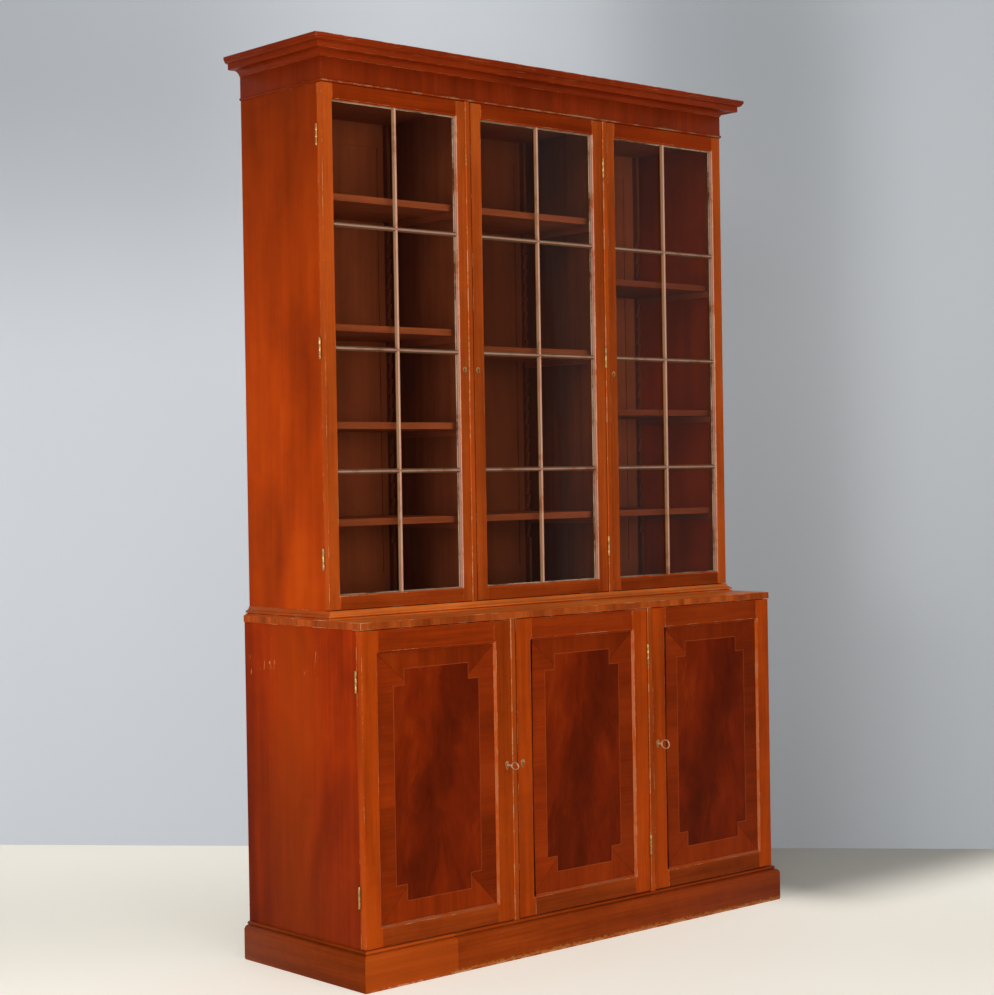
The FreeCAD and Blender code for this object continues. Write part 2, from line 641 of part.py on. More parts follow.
def shelf_fittings():
    """Racks in the corners of each bay, with cleats and shelves at the chosen steps."""
    racks, cleats, shelves = [], [], []
    back_d, front_d = "back_thick + rack_wide", "upper_side_depth - rack_wide"
    slope = "notch_deep * cleat_high / rack_pitch"
    for word, (left, right) in bays("upper").items():
        for corner, x in (("a", left), ("b", f"{right} - rack_thick")):
            racks.append(rack(f"rack_{word}_{corner}_front", x, "upper_side_depth", False))
            racks.append(rack(f"rack_{word}_{corner}_back", f"{x} + rack_thick", "back_thick", True))
        for step in SHELF_STEPS[word]:
            top = f"shelf_low_z + {step} * rack_pitch"
            foot = f"{top} - shelf_thick - cleat_high"
            near = f"back_y - ({front_d}) - notch_deep"
            far = f"back_y - ({back_d}) + notch_deep"
            for corner, x in (("a", left), ("b", f"{right} - rack_thick")):
                cleats.append(prism(f"cleat_{word}_{step}_{corner}", "YZ_Plane",
                                    [(near, foot), (far, foot),
                                     (f"{far} - {slope}", f"{foot} + cleat_high"),
                                     (f"{near} + {slope}", f"{foot} + cleat_high")],
                                    "rack_thick", None, x))
            low_x, high_x = f"{left} + shelf_play", f"{right} - shelf_play"
            notch_x = "rack_thick + shelf_play"
            front_y, back_y = "back_y - shelf_front", "back_y - back_thick - 1"
            notch_y = f"back_y - ({back_d}) - 1"
            shelves.append(prism(f"shelf_{word}_{step}", "XY_Plane",
                                 [(low_x, front_y), (high_x, front_y), (high_x, notch_y),
                                  (f"{high_x} - {notch_x}", notch_y), (f"{high_x} - {notch_x}", back_y),
                                  (f"{low_x} + {notch_x}", back_y), (f"{low_x} + {notch_x}", notch_y),
                                  (low_x, notch_y)],
                                 "shelf_thick", None, f"{top} - shelf_thick"))
    node("shelf_racks", racks)
    node("shelf_cleats", cleats)
    node("upper_shelves", shelves)


# ---------------------------------------------------------------------------------------------
# Hinges
# ---------------------------------------------------------------------------------------------

KNUCKLES = 3


def leaf(name, own, bore, x, y, z, turn):
    """A hinge leaf round the Z axis: its plate lies along +X, just behind the axis."""
    step = f"hinge_long / {KNUCKLES}"
    plate = doc.addObject("Part::Box", name + "_plate")
    bind(plate, "Length", "leaf_reach - leaf_start")
    bind(plate, "Width", "leaf_thick")
    bind(plate, "Height", "hinge_long")
    place(plate, "leaf_start", "leaf_gap", "-hinge_long / 2")
    pieces = [plate]
    for index in own:
        foot = f"-hinge_long / 2 + {index} * {step} + knuckle_gap / 2"
        knuckle = flat_bar(f"{name}_knuckle_{index + 1}", "0", "0", foot, "knuckle_flat",
                           f"{step} - knuckle_gap")
        tab = doc.addObject("Part::Box", f"{name}_tab_{index + 1}")
        bind(tab, "Length", "leaf_start + 1")
        bind(tab, "Width", "leaf_thick")
        bind(tab, "Height", f"{step} - knuckle_gap")
        place(tab, "0", "leaf_gap", foot)
        pieces += [knuckle, tab]
    hole = flat_bar(name + "_bore", "0", "0", "-hinge_long / 2 - 1", bore, "hinge_long + 2")
    return place(cut(name, fuse(name + "_blank", pieces), [hole]), x, y, z, turn)


def pin(name, x, y, z):
    """A hinge pin, flush with the ends of its knuckles."""
    return flat_bar(name, x, y, f"{z} - hinge_long / 2", "pin_flat", "hinge_long")


def turned_leaf(place_word, on_door):
    """The turn that lays a leaf in its place: outer hinges lie flat, middle ones stand."""
    flat = FreeCAD.Rotation(FreeCAD.Vector(1, 0, 0), 180)
    over = FreeCAD.Rotation(FreeCAD.Vector(0, 1, 0), 180)
    quarter = FreeCAD.Rotation(FreeCAD.Vector(0, 0, 1), 90)
    start = flat if on_door else FreeCAD.Rotation()
    if place_word == "left":
        return start
    if place_word == "right":
        return over.multiply(start)
    start = FreeCAD.Rotation() if on_door else flat
    return quarter.multiply(start)


def pin_spot(stage, place_word):
    """The x and y of a door's pins."""
    if place_word == "middle":
        return ("middle_pin_x", f"back_y - ({MIDDLE_PIN_D[stage]})")
    sign = "-" if place_word == "left" else ""
    return (f"{sign}({OUTER_PIN[stage]})", f"back_y - ({OUTER_PIN_D[stage]})")


def hinges():
    """Every hinge: the case's leaves and pins are fixed, the doors' leaves turn."""
    fixed, pins = [], []
    for stage in HINGES:
        for word in ("left", "middle", "right"):
            moving = []
            x, y = pin_spot(stage, word)
            for height in HINGES[stage]:
                tag = f"{word}_{height}"
                fixed.append(leaf("case_leaf_" + tag, (0, 2), "pin_flat",
                                  x, y, height, turned_leaf(word, False)))
                moving.append(leaf("door_leaf_" + tag, (1,), "pin_flat + pin_play",
                                   x, y, height, turned_leaf(word, True)))
                pins.append(pin("pin_" + tag, x, y, height))
            node(f"{stage}_door_{word}_hinge_leaves", moving)
    node("carcase_hinge_leaves", fixed)
    node("hinge_pins", pins)


# ---------------------------------------------------------------------------------------------
# Doors
# ---------------------------------------------------------------------------------------------


def door_edges(stage, word):
    """The two x of a door and the two x of its opening between the stiles."""
    hinge, lock = f"{stage}_hinge_stile", f"{stage}_lock_stile"
    half = f"{stage}_half_width"
    if word == "left":
        return (f"-{half}", "-outer_door_edge", f"-{half} + {hinge}", f"-outer_door_edge - {lock}")
    if word == "right":
        return ("outer_door_edge", half, f"outer_door_edge + {lock}", f"{half} - {hinge}")
    stile = f"{stage}_middle_stile"
    return ("-middle_door_half", "middle_door_half",
            f"-middle_door_half + {stile}", f"middle_door_half - {stile}")


def rectangle(x, z):
    """The corners of an upright rectangle."""
    return [(x[0], z[0]), (x[1], z[0]), (x[1], z[1]), (x[0], z[1])]


def keyhole(name, stage, word, flat, slot, depths):
    """The hole and the slot of a keyhole, through a stretch of depths."""
    edge, way = lock_spot(stage, word)
    centre = beside(edge, way, f"{stage}_backset", f"{stage}_backset")[0]
    height = f"{stage}_lock_z"
    forward = FreeCAD.Rotation(FreeCAD.Vector(1, 0, 0), 90)
    hole = flat_bar(name + "_eye", centre, f"back_y - ({depths[0]})", height, flat,
                    f"({depths[1]}) - ({depths[0]})", forward)
    narrow = board(name + "_slot", (f"{centre} - {slot} / 2", f"{centre} + {slot} / 2"), depths,
                   (f"{height} - slot_down", height))
    return [hole, narrow]


def lock_case_span(stage, word, spare="0"):
    """The x, depths and heights of a lock's case, let into the back of the stile."""
    edge, way = lock_spot(stage, word)
    return (beside(edge, way, "0", f"{stage}_case_wide + {spare}"),
            (f"{stage}_door_back", f"{stage}_door_back + lock_deep"),
            (f"{stage}_lock_z - lock_below", f"{stage}_lock_z + lock_above"))


def selvedge_span(stage, word):
    """The x, depths and heights of the plate on the door's closing edge."""
    edge, way = lock_spot(stage, word)
    _, depths, heights = lock_case_span(stage, word)
    return (beside(edge, way, "0", "selvedge_thick"), depths,
            (f"{heights[0]} - selvedge_spare", f"{heights[1]} + selvedge_spare"))


def door_frame(stage, word):
    """Stiles and rails: a bevelled and rebated ring, cut for its fittings, then parted."""
    name = f"{stage}_door_{word}"
    x0, x1, s0, s1 = door_edges(stage, word)
    z = (f"{stage}_door_foot", f"{stage}_door_head")
    sight_z = (f"{z[0]} + {stage}_foot_rail", f"{z[1]} - {stage}_head_rail")
    back, thick = f"{stage}_door_back", f"{stage}_door_thick"
    ring = prism(name + "_ring", "XZ_Plane", rectangle((x0, x1), z), thick, None, f"{back} - back_y")
    pocket(ring, name + "_opening", "XZ_Plane", rectangle((s0, s1), sight_z), thick, f"{back} - back_y")
    wide = f"{stage}_rebate_wide"
    rebate = pocket(ring, name + "_rebate", "XZ_Plane",
                    rectangle((f"{s0} - {wide}", f"{s1} + {wide}"),
                              (f"{sight_z[0]} - {wide}", f"{sight_z[1]} + {wide}")),
                    f"{stage}_rebate_deep", f"{back} - back_y")
    front_y = value(f"back_y - {back} - {thick}")
    inner_edges = []
    for index, edge in enumerate(rebate.Shape.Edges, start=1):
        middle = edge.CenterOfMass
        inside = value(s0) - 1e-3 <= middle.x <= value(s1) + 1e-3
        level = value(sight_z[0]) - 1e-3 <= middle.z <= value(sight_z[1]) + 1e-3
        if abs(middle.y - front_y) < 1e-4 and inside and level:
            inner_edges.append(f"Edge{index}")
    bevel = ring.newObject("PartDesign::Chamfer", name + "_bevel")
    bevel.Base = (rebate, inner_edges)
    bind(bevel, "Size", f"{stage}_bevel")

    face = f"{back} + {thick}"
    tools = keyhole(name + "_hole", stage, word, "wood_hole", "wood_slot",
                    (f"{back} + lock_deep - 0.5", f"{face} + 1"))
    tools.append(board(name + "_lock_bed", *lock_case_span(stage, word)))
    tools.append(board(name + "_selvedge_bed", *selvedge_span(stage, word)))
    if word == "middle":
        tools += knuckle_hollows(stage, name + "_hollow")
    else:
        side = -1 if word == "left" else 1
        tools += leaf_gains(stage, side, (f"{back} - 1", f"{stage}_side_depth + 0.45 + leaf_thick"),
                            name + "_gain")
    worked = cut(name + "_worked", ring, tools)
    deep = (f"{back} - 1", f"{face} + 1")
    zones = {
        "stile_a": ((f"{x0} - 1", s0), (f"{z[0]} - 1", f"{z[1]} + 1")),
        "stile_b": ((s1, f"{x1} + 1"), (f"{z[0]} - 1", f"{z[1]} + 1")),
        "foot_rail": ((s0, s1), (f"{z[0]} - 1", sight_z[0])),
        "head_rail": ((s0, s1), (sight_z[1], f"{z[1]} + 1")),
    }
    pieces = []
    for part, (across, up) in zones.items():
        zone = board(f"{name}_{part}_zone", across, deep, up)
        pieces.append(common(f"{name}_{part}", worked, zone))
    node(name + "_frame", pieces)


def bar_outline(at, flip):
    """Section of a glazing bar: a tongue between the panes and a hollow-sided nose in front."""
    back = "upper_door_back + 1"
    shoulder = "upper_door_back + upper_rebate_deep"
    fillet = f"{shoulder} + 2.5"
    nose = f"{shoulder} + bar_deep"
    waist = "(bar_wide + bar_nose) / 4 - bar_hollow"
    middle = f"({fillet} + {nose}) / 2 - bar_hollow / 2"
    right = [("bar_nose / 2", nose), (waist, middle), ("bar_wide / 2", fillet),
             ("bar_wide / 2", shoulder), ("bar_tongue / 2", shoulder), ("bar_tongue / 2", back)]
    section = [(f"-({w})", d) for w, d in reversed(right)] + right
    if flip:
        return [(f"back_y - ({d})", f"{at} + {w}") for w, d in section]
    return [(f"{at} + {w}", f"back_y - ({d})") for w, d in section]


def glazing(word):
    """The bars and the eight panes of an upper door."""
    name = f"upper_door_{word}"
    _, _, s0, s1 = door_edges("upper", word)
    sight_z = ("upper_door_foot + upper_foot_rail", "upper_door_head - upper_head_rail")
    middle = f"(({s0}) + ({s1})) / 2"
    heights = [f"bar_low_z + {index} * bar_step" for index in range(3)]
    upright = prism(name + "_bar_upright", "XY_Plane", bar_outline(middle, False),
                    f"{sight_z[1]} - ({sight_z[0]})", None, sight_z[0])
    bars = [upright]
    for index, height in enumerate(heights):
        level = prism(f"{name}_bar_level_{index + 1}", "YZ_Plane", bar_outline(height, True),
                      f"({s1}) - ({s0})", None, s0)
        bars.append(cut(f"{name}_bar_scribed_{index + 1}", level, [upright]))
    node(name + "_glazing_bars", bars)

    reach = "(upper_rebate_wide - glass_play)"
    columns = ((f"{s0} - {reach}", f"{middle} - bar_tongue / 2 - 0.5"),
               (f"{middle} + bar_tongue / 2 + 0.5", f"{s1} + {reach}"))
    levels = [f"{sight_z[0]} - {reach}"]
    for height in heights:
        levels += [f"{height} - bar_tongue / 2 - 0.5", f"{height} + bar_tongue / 2 + 0.5"]
    levels.append(f"{sight_z[1]} + {reach}")
    front = "upper_door_back + upper_rebate_deep"
    panes = []
    for row in range(4):
        for column, across in enumerate(columns):
            panes.append(board(f"{name}_pane_{row * 2 + column + 1}", across,
                               (f"{front} - glass_thick", front), (levels[2 * row], levels[2 * row + 1])))
    node(name + "_glass", panes)


def door_panel(word):
    """The flat panel of a lower door, seated in the rebate."""
    _, _, s0, s1 = door_edges("lower", word)
    reach = "lower_rebate_wide - 0.5"
    foot = f"lower_door_foot + lower_foot_rail - ({reach})"
    head = f"lower_door_head - lower_head_rail + {reach}"
    front = "lower_door_back + lower_rebate_deep"
    name = f"lower_door_{word}_panel"
    node(name, [board(name, (f"{s0} - ({reach})", f"{s1} + {reach}"),
                      (f"{front} - panel_thick", front), (foot, head))])


def escutcheon(stage, word):
    """A pointed shield with the keyhole through it, planted on the face of the stile."""
    name = f"{stage}_door_{word}_escutcheon"
    edge, way = lock_spot(stage, word)
    x = beside(edge, way, f"{stage}_backset", f"{stage}_backset")[0]
    wide, high = f"{stage}_escutcheon_wide / 2", f"{stage}_escutcheon_high"
    low, top = f"{stage}_lock_z - {high} * 0.58", f"{stage}_lock_z + {high} * 0.42"
    waist = f"{stage}_lock_z - {high} * 0.3"
    shoulder = f"{stage}_lock_z + {high} * 0.2"
    face = f"{stage}_door_back + {stage}_door_thick"
    shield = prism(name + "_shield", "XZ_Plane",
                   [(x, low), (f"{x} + {wide} * 0.62", waist), (f"{x} + {wide}", shoulder),
                    (f"{x} + {wide} * 0.45", top), (f"{x} - {wide} * 0.45", top),
                    (f"{x} - {wide}", shoulder), (f"{x} - {wide} * 0.62", waist)],
                   "escutcheon_thick", None, f"{face} - back_y")
    return cut(name, shield, keyhole(name + "_hole", stage, word, "plate_hole", "plate_slot",
                                     (f"{face} - 1", f"{face} + escutcheon_thick + 1")))


def lock(stage, word):
    """A cut cupboard lock: case with edge plate, cap, escutcheon, and the bolt that slides in it."""
    name = f"{stage}_door_{word}_lock"
    edge, way = lock_spot(stage, word)
    across, depths, heights = lock_case_span(stage, word)
    cap_front = f"{depths[0]} + lock_wall"
    shell = board(name + "_shell", across, (cap_front, depths[1]), heights)
    selvedge_x, _, selvedge_z = selvedge_span(stage, word)
    selvedge = board(name + "_selvedge", selvedge_x, depths, selvedge_z)
    inner_x = beside(edge, way, "selvedge_thick", f"{stage}_case_wide - lock_wall")
    room = board(name + "_room", inner_x, (f"{depths[0]} - 1", f"{depths[1]} - lock_wall"),
                 (f"{heights[0]} + lock_wall", f"{heights[1]} - lock_wall"))
    door_way = board(name + "_bolt_way", beside(edge, way, "-1", "selvedge_thick + 1"),
                     bolt_depths(stage, "bolt_play"), bolt_heights(stage, "bolt_play"))
    hole = keyhole(name + "_hole", stage, word, "plate_hole", "plate_slot",
                   (f"{depths[1]} - lock_wall - 1", f"{depths[1]} + 1"))
    case = cut(name + "_case", fuse(name + "_blank", [shell, selvedge]), [room, door_way] + hole)
    cap = board(name + "_cap", beside(edge, way, "selvedge_thick", f"{stage}_case_wide"),
                (depths[0], cap_front), heights)
    node(name, [case, cap, escutcheon(stage, word)])

    bolt_name = f"{stage}_door_{word}_bolt"
    bar = board(bolt_name + "_bar", beside(edge, way, "0", f"{stage}_case_wide - bolt_long_spare"),
                bolt_depths(stage), bolt_heights(stage))
    # the talon lies clear of the bit wherever the key and the bolt stand
    talon_near = f"{stage}_backset + bolt_throw - 2.2"
    if stage == "upper":
        talon_near = "upper_backset - talon_wide / 2"
    talon = board(bolt_name + "_talon", beside(edge, way, talon_near, f"{talon_near} + talon_wide"),
                  bolt_depths(stage, "1"),
                  (f"{stage}_lock_z + bolt_low - 1", f"{stage}_lock_z + bolt_low + talon_deep"))
    node(bolt_name, [cut(bolt_name, bar, [talon])])


BOW_FLATS = 20


def oval(long_half, high_half):
    """The corners of an oval with short flats, drawn round the middle of a sketch."""
    corners = []
    for index in range(BOW_FLATS):
        angle = 2 * math.pi * index / BOW_FLATS
        corners.append((f"({long_half}) * {math.cos(angle):.5f}",
                        f"({high_half}) * {math.sin(angle):.5f}"))
    return corners


def key(word):
    """A key with an oval bow; at rest its bow stands upright and its bit hangs down."""
    name = f"key_{word}"
    edge, way = lock_spot("lower", word)
    x = beside(edge, way, "lower_backset", "lower_backset")[0]
    height = "lower_lock_z"
    face = "lower_door_back + lower_door_thick"
    bit_back = f"{bolt_depths('lower')[0]}"
    bow_long, bow_high = f"{word}_bow_long", f"{word}_bow_high"
    bow_start = f"key_depth - {bow_long}"
    shank_back = f"{bit_back} - 1"
    forward = FreeCAD.Rotation(FreeCAD.Vector(1, 0, 0), 90)
    shank = flat_bar(name + "_shank", x, f"back_y - ({shank_back})", height, "shank_flat",
                     f"{bow_start} + bow_bar / 2 - ({shank_back})", forward)
    collar = flat_bar(name + "_collar", x, f"back_y - ({face} + escutcheon_thick + 0.5)", height,
                      "collar_flat", "collar_long", forward)
    bit = board(name + "_bit", (f"{x} - bit_thick / 2", f"{x} + bit_thick / 2"),
                (bit_back, f"{bit_back} + bit_long"), (f"{height} - bit_reach", height))
    bow = prism(name + "_bow", "YZ_Plane", oval(f"{bow_long} / 2", f"{bow_high} / 2"),
                "bow_thick", None, "-bow_thick / 2")
    pocket(bow, name + "_bow_eye", "YZ_Plane",
           oval(f"{bow_long} / 2 - bow_bar", f"{bow_high} / 2 - bow_bar"),
           "bow_thick", "-bow_thick / 2")
    place(bow, x, f"back_y - key_depth + {bow_long} / 2", height)
    node(name, [fuse(name, [shank, collar, bit, bow])])


# ---------------------------------------------------------------------------------------------
# The whole piece
# ---------------------------------------------------------------------------------------------

base_stage()
upper_stage()
shelf_fittings()
hinges()
for stage_name in ("upper", "lower"):
    for door_word in ("left", "middle", "right"):
        door_frame(stage_name, door_word)
        lock(stage_name, door_word)
        if stage_name == "upper":
            glazing(door_word)
        else:
            door_panel(door_word)
key("left")
key("right")
doc.recompute()

for item in doc.Objects:
    if "Invalid" in item.State or "Error" in item.State:
        raise RuntimeError(f"{item.Name} failed: {item.State}")
for item in nodes:
    if item.Shape.isNull() or not item.Shape.isValid() or not item.Shape.Solids:
        raise RuntimeError(f"{item.Label} has no valid solid")

os.makedirs("parts", exist_ok=True)
for item in nodes:
    item.Shape.exportStep(f"parts/{item.Label}.step")
print(len(nodes), "nodes,", sum(len(item.Shape.Solids) for item in nodes), "solids")
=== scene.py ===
"""A three-door mahogany bookcase on a cupboard base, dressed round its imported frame."""
import math
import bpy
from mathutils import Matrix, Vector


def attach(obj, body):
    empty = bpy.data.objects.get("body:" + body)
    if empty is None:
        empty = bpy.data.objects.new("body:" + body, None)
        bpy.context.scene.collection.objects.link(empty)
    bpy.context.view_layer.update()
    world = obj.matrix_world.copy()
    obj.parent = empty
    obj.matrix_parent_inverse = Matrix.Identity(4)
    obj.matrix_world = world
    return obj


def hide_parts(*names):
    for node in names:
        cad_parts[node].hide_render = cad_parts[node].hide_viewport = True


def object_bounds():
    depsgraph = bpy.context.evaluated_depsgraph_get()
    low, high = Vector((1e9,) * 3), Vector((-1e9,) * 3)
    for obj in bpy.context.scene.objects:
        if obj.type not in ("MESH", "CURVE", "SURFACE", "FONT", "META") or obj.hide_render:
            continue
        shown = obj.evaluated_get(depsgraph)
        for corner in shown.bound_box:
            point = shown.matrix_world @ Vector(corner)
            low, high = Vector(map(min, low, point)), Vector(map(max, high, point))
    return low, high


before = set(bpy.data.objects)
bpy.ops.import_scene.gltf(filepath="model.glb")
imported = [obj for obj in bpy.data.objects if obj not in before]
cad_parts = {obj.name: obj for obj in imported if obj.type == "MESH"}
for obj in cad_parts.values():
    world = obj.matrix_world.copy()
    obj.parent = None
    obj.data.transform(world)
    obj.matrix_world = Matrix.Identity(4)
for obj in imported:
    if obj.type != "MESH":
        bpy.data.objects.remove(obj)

from types import SimpleNamespace

import bpy
from mathutils import Matrix, Vector

bl_info = {
    "name": "Mahogany bookcase",
    "version": (1, 0, 0),
    "blender": (4, 5, 0),
    "location": "View3D > Sidebar > Bookcase",
    "description": "Builds the wood, glass and brass of a three-door bookcase round its frame",
    "category": "Object",
}

cad_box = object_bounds()

# Sizes in millimetres. Depths run forward from the back plane.

MM = 0.001
BACK = round(cad_box[1].y / MM, 3)
TOP = round(cad_box[1].z / MM, 3)

UPPER = SimpleNamespace(
    half=750, side=337.4, back=338, thick=18, facing=358.5, foot=943, head=2288,
    hinge_stile=36, lock_stile=30, middle_stile=38, head_rail=42, foot_rail=37,
    rebate_wide=6, rebate_deep=6, bevel=3, lock_z=1566, backset=13, case_wide=22,
    hinges=(1073, 1612, 2155), floor=941, roof=2271, strip_head=2289,
    shield=(14, 20), board_foot=941, board_head=2289)
LOWER = SimpleNamespace(
    half=767, side=485.4, back=486, thick=20, facing=508.5, foot=103, head=898,
    hinge_stile=53.5, lock_stile=55.5, middle_stile=57.5, head_rail=60, foot_rail=52,
    rebate_wide=7, rebate_deep=13.5, bevel=6, lock_z=515, backset=17, case_wide=38,
    hinges=(232, 771), floor=101, roof=900, strip_head=900,
    shield=(15, 24), board_foot=0, board_head=900)
STAGES = {"upper": UPPER, "lower": LOWER}
WORDS = ("left", "middle", "right")
FLANKS = [(stage, sign, word) for stage in STAGES for sign, word in ((-1, "left"), (1, "right"))]
BOARD = 18
PARTITION = 260
FACING_ROUND = 3
OUTER_EDGE = 270
MIDDLE_HALF = 248.5
FIRST_BAR, BAR_STEP = 1296.5, 316.5
FRIEZE_FOOT, FRIEZE_HEAD = 2289, 2353
HINGE_LONG = 55
LEAF_WIDE = 16
LEAF_FACES = (1.25, 0.15)
PIN_OUT, PIN_AHEAD, PIN_PAST = 3.5, 3, 0.3
MIDDLE_PIN = 249.75
KNUCKLE_ROOM = 3.7
LOCK_DEEP = 9.5
CASE_SPAN, SELVEDGE_SPAN = (-13.5, 18.5), (-19.5, 24.5)
SELVEDGE = 1.6
SLOT_LONG = 9.2
BOLT_DEPTHS, BOLT_SPAN = (2.2, 7.3), (6.1, 15.4)
KEY_FRONT = 552
CORNICE_OUT, WAIST_OUT, PLINTH_OUT = 53, 13, 18
FRIEZE_THICK = 22
BACK_THICK = 14
PLINTH_RAIL_HIGH = 83
WORKTOP_HALF, WORKTOP_DEEP, WORKTOP_HEAD = 770, 508, 919
# Where the bolts beside the left and the right partition enter its facing.
MORTISES = {-1: ((-271, -261.4), (-257.1, -250)), 1: ((261.4, 271),)}
# A pane's back, and how the putty lies round it.
PANE_BACK = 3.5
PUTTY_UNDER, PUTTY_DEEP, PUTTY_FOOT = 5.5, 1.6, 0.6
SIDE_PUTTY, END_PUTTY = (2.6, 1.6), (2.2, 1.4)
# Radii of a hinge's knuckles, pin and screw heads, the gap beside a knuckle, and the screws.
KNUCKLE, PIN, SCREW = 3.15, 1.65, 2.2
KNUCKLE_GAP = 0.15
SCREW_PLACES = ((9.5, -18), (14.5, 0), (9.5, 18))
# The length and height of each key's bow, and the scales of its bar.
KEY_BOWS = ((29, 20), (33, 27))
BOW_BAR, BOW_DEEP = 0.12, 14.2

# The camera: its place in metres, its turn in degrees, and its lens in pixels of the render.
CAMERA_PLACE = (-3.8706, -4.2304, 1.2831)
CAMERA_TURN = (-41.689, 0.651, -0.921)
SENSOR, FOCAL_PIXELS, PICTURE_WIDE = 36, 2035.4, 994

# In metres: a panel's veneer field, the darker back edge of a side, and the foot of the backdrop.
FIELD_HALF_WIDE, FIELD_HALF_HIGH, FIELD_MIDDLE = 0.137, 0.296, 0.5
BACK_EDGE = (0.215, 0.262)
WALL_FOOT = (Vector((-0.3204, 2.2179, 0)), Vector((1.7458, -0.0768, 0)))
WALL_ALONG = (WALL_FOOT[1] - WALL_FOOT[0]).normalized()


def door_facts(stage, word):
    """A door's two edges, its opening, its closing edge and its names."""
    s = STAGES[stage]
    x0, x1, s0, s1, edge, way = {
        "left": (-s.half, -OUTER_EDGE, -s.half + s.hinge_stile, -OUTER_EDGE - s.lock_stile,
                 -OUTER_EDGE, -1),
        "middle": (-MIDDLE_HALF, MIDDLE_HALF, -MIDDLE_HALF + s.middle_stile,
                   MIDDLE_HALF - s.middle_stile, -MIDDLE_HALF, 1),
        "right": (OUTER_EDGE, s.half, OUTER_EDGE + s.lock_stile, s.half - s.hinge_stile,
                  OUTER_EDGE, 1)}[word]
    return SimpleNamespace(
        **vars(s), stage=stage, word=word, x0=x0, x1=x1, edge=edge, way=way,
        opening=(s0, s1, s.foot + s.foot_rail, s.head - s.head_rail), front=s.back + s.thick,
        spot=edge + way * s.backset, sign=-1 if word == "left" else 1,
        piece=f"{stage}_{word}_door", node=f"{stage}_door_{word}")


DOORS = [door_facts(stage, word) for stage in STAGES for word in WORDS]
UPPER_DOORS, LOWER_DOORS = DOORS[:3], DOORS[3:]


def around(place, low, high):
    """Two places, one on each side of another."""
    return place + low, place + high


def inward(door, *distances):
    """Places given from a door's closing edge into the door."""
    return tuple(door.edge + door.way * distance for distance in distances)


def colour(red, green, blue):
    """A colour given as a screen shows it, in the linear numbers that the shaders take."""
    return tuple(part / 12.92 if part <= 0.04045 else ((part + 0.055) / 1.055) ** 2.4
                 for part in (red / 255, green / 255, blue / 255))


# Settings


def shade(label, note, red, green, blue):
    """A colour setting."""
    return bpy.props.FloatVectorProperty(name=label, description=note, subtype="COLOR", size=3,
                                         min=0, max=1, default=colour(red, green, blue))


def length(label, note, millimetres):
    """A length setting."""
    return bpy.props.FloatProperty(name=label, description=note, subtype="DISTANCE", unit="LENGTH",
                                   min=0, default=millimetres * MM)


class BookcaseSizes(bpy.types.PropertyGroup):
    """Lengths that change the look without moving any piece."""
    arris: length("Arris", "Rounding of the boards' edges", 0.8)
    stringing: length("Stringing", "Width of the pale line round the panel fields", 1.5)
    mitre_line: length("Mitre line", "Width of the dark joint at the corners of a border", 0.9)
    border_side: length("Side border", "Width of the crossbanding at the sides of a panel", 50)
    border_head: length("Head border", "Width of the crossbanding at the head of a panel", 42)
    border_foot: length("Foot border", "Width of the crossbanding at the foot of a panel", 50)
    notch_wide: length("Notch width", "Width of the square corners cut from a field", 36)
    notch_high: length("Notch height", "Height of the square corners cut from a field", 42)


class BookcaseColours(bpy.types.PropertyGroup):
    """Colours of the finishes."""
    side: shade("Sides", "Polished mahogany of the upper sides", 166, 57, 4)
    lower_side: shade("Lower sides", "Polished mahogany of the lower sides", 154, 45, 2)
    stile: shade("Stiles", "Polished mahogany of the upper door stiles", 176, 75, 22)
    lower_stile: shade("Lower stiles", "Polished mahogany of the lower door stiles", 176, 66, 10)
    rail: shade("Rails", "Polished mahogany of the door rails", 145, 48, 7)
    # The mouldings' colour is darker than the sides' as painted shade high on the case, where the light
    # falls off.
    moulding: shade("Mouldings", "Darker mahogany of frieze and cornice", 127, 41, 10)
    plinth: shade("Plinth", "Mahogany of the plinth and foot rails", 164, 66, 17)
    # The waist colour is a painted highlight: lighter on the worktop's top and the waist moulding's
    # front, where light from above falls.
    waist: shade("Waist", "Lighter mahogany on top of the lower case", 210, 108, 42)
    worktop: shade("Worktop", "Mahogany of the board between the stages", 164, 72, 25)
    field: shade("Fields", "Flame veneer of the panel fields", 113, 31, 4)
    border: shade("Borders", "Crossbanding of the panels", 142, 46, 7)
    line: shade("Stringing", "Pale line round the fields", 156, 70, 30)
    inside: shade("Inside", "Waxed wood inside the case", 150, 74, 40)
    # The bevel and bar colours are partly worn polish and partly painted highlight.
    bevel: shade("Bevels", "Rubbed bevels of the door frames", 184, 104, 66)
    putty: shade("Putty", "Old putty round the panes", 216, 198, 168)
    bar: shade("Bars", "Rubbed noses of the glazing bars", 204, 154, 132)
    bar_side: shade("Bar sides", "Hollow sides of the glazing bars", 148, 112, 80)
    worn: shade("Worn edges", "Bare wood where the polish has gone", 214, 156, 108)
    scuffed: shade("Scuffed foot", "Bare wood along the foot of the plinth", 188, 122, 54)
    brass: shade("Brass", "Aged brass of hinges and locks", 200, 154, 92)
    steel: shade("Pins", "Bright metal of the hinge pins", 179, 175, 170)
    key: shade("Keys", "Worn metal of the keys", 222, 176, 140)
    backdrop: shade("Backdrop", "Pale backdrop", 206, 211, 217)
    floor: shade("Floor", "Pale floor", 232, 227, 215)


# Materials


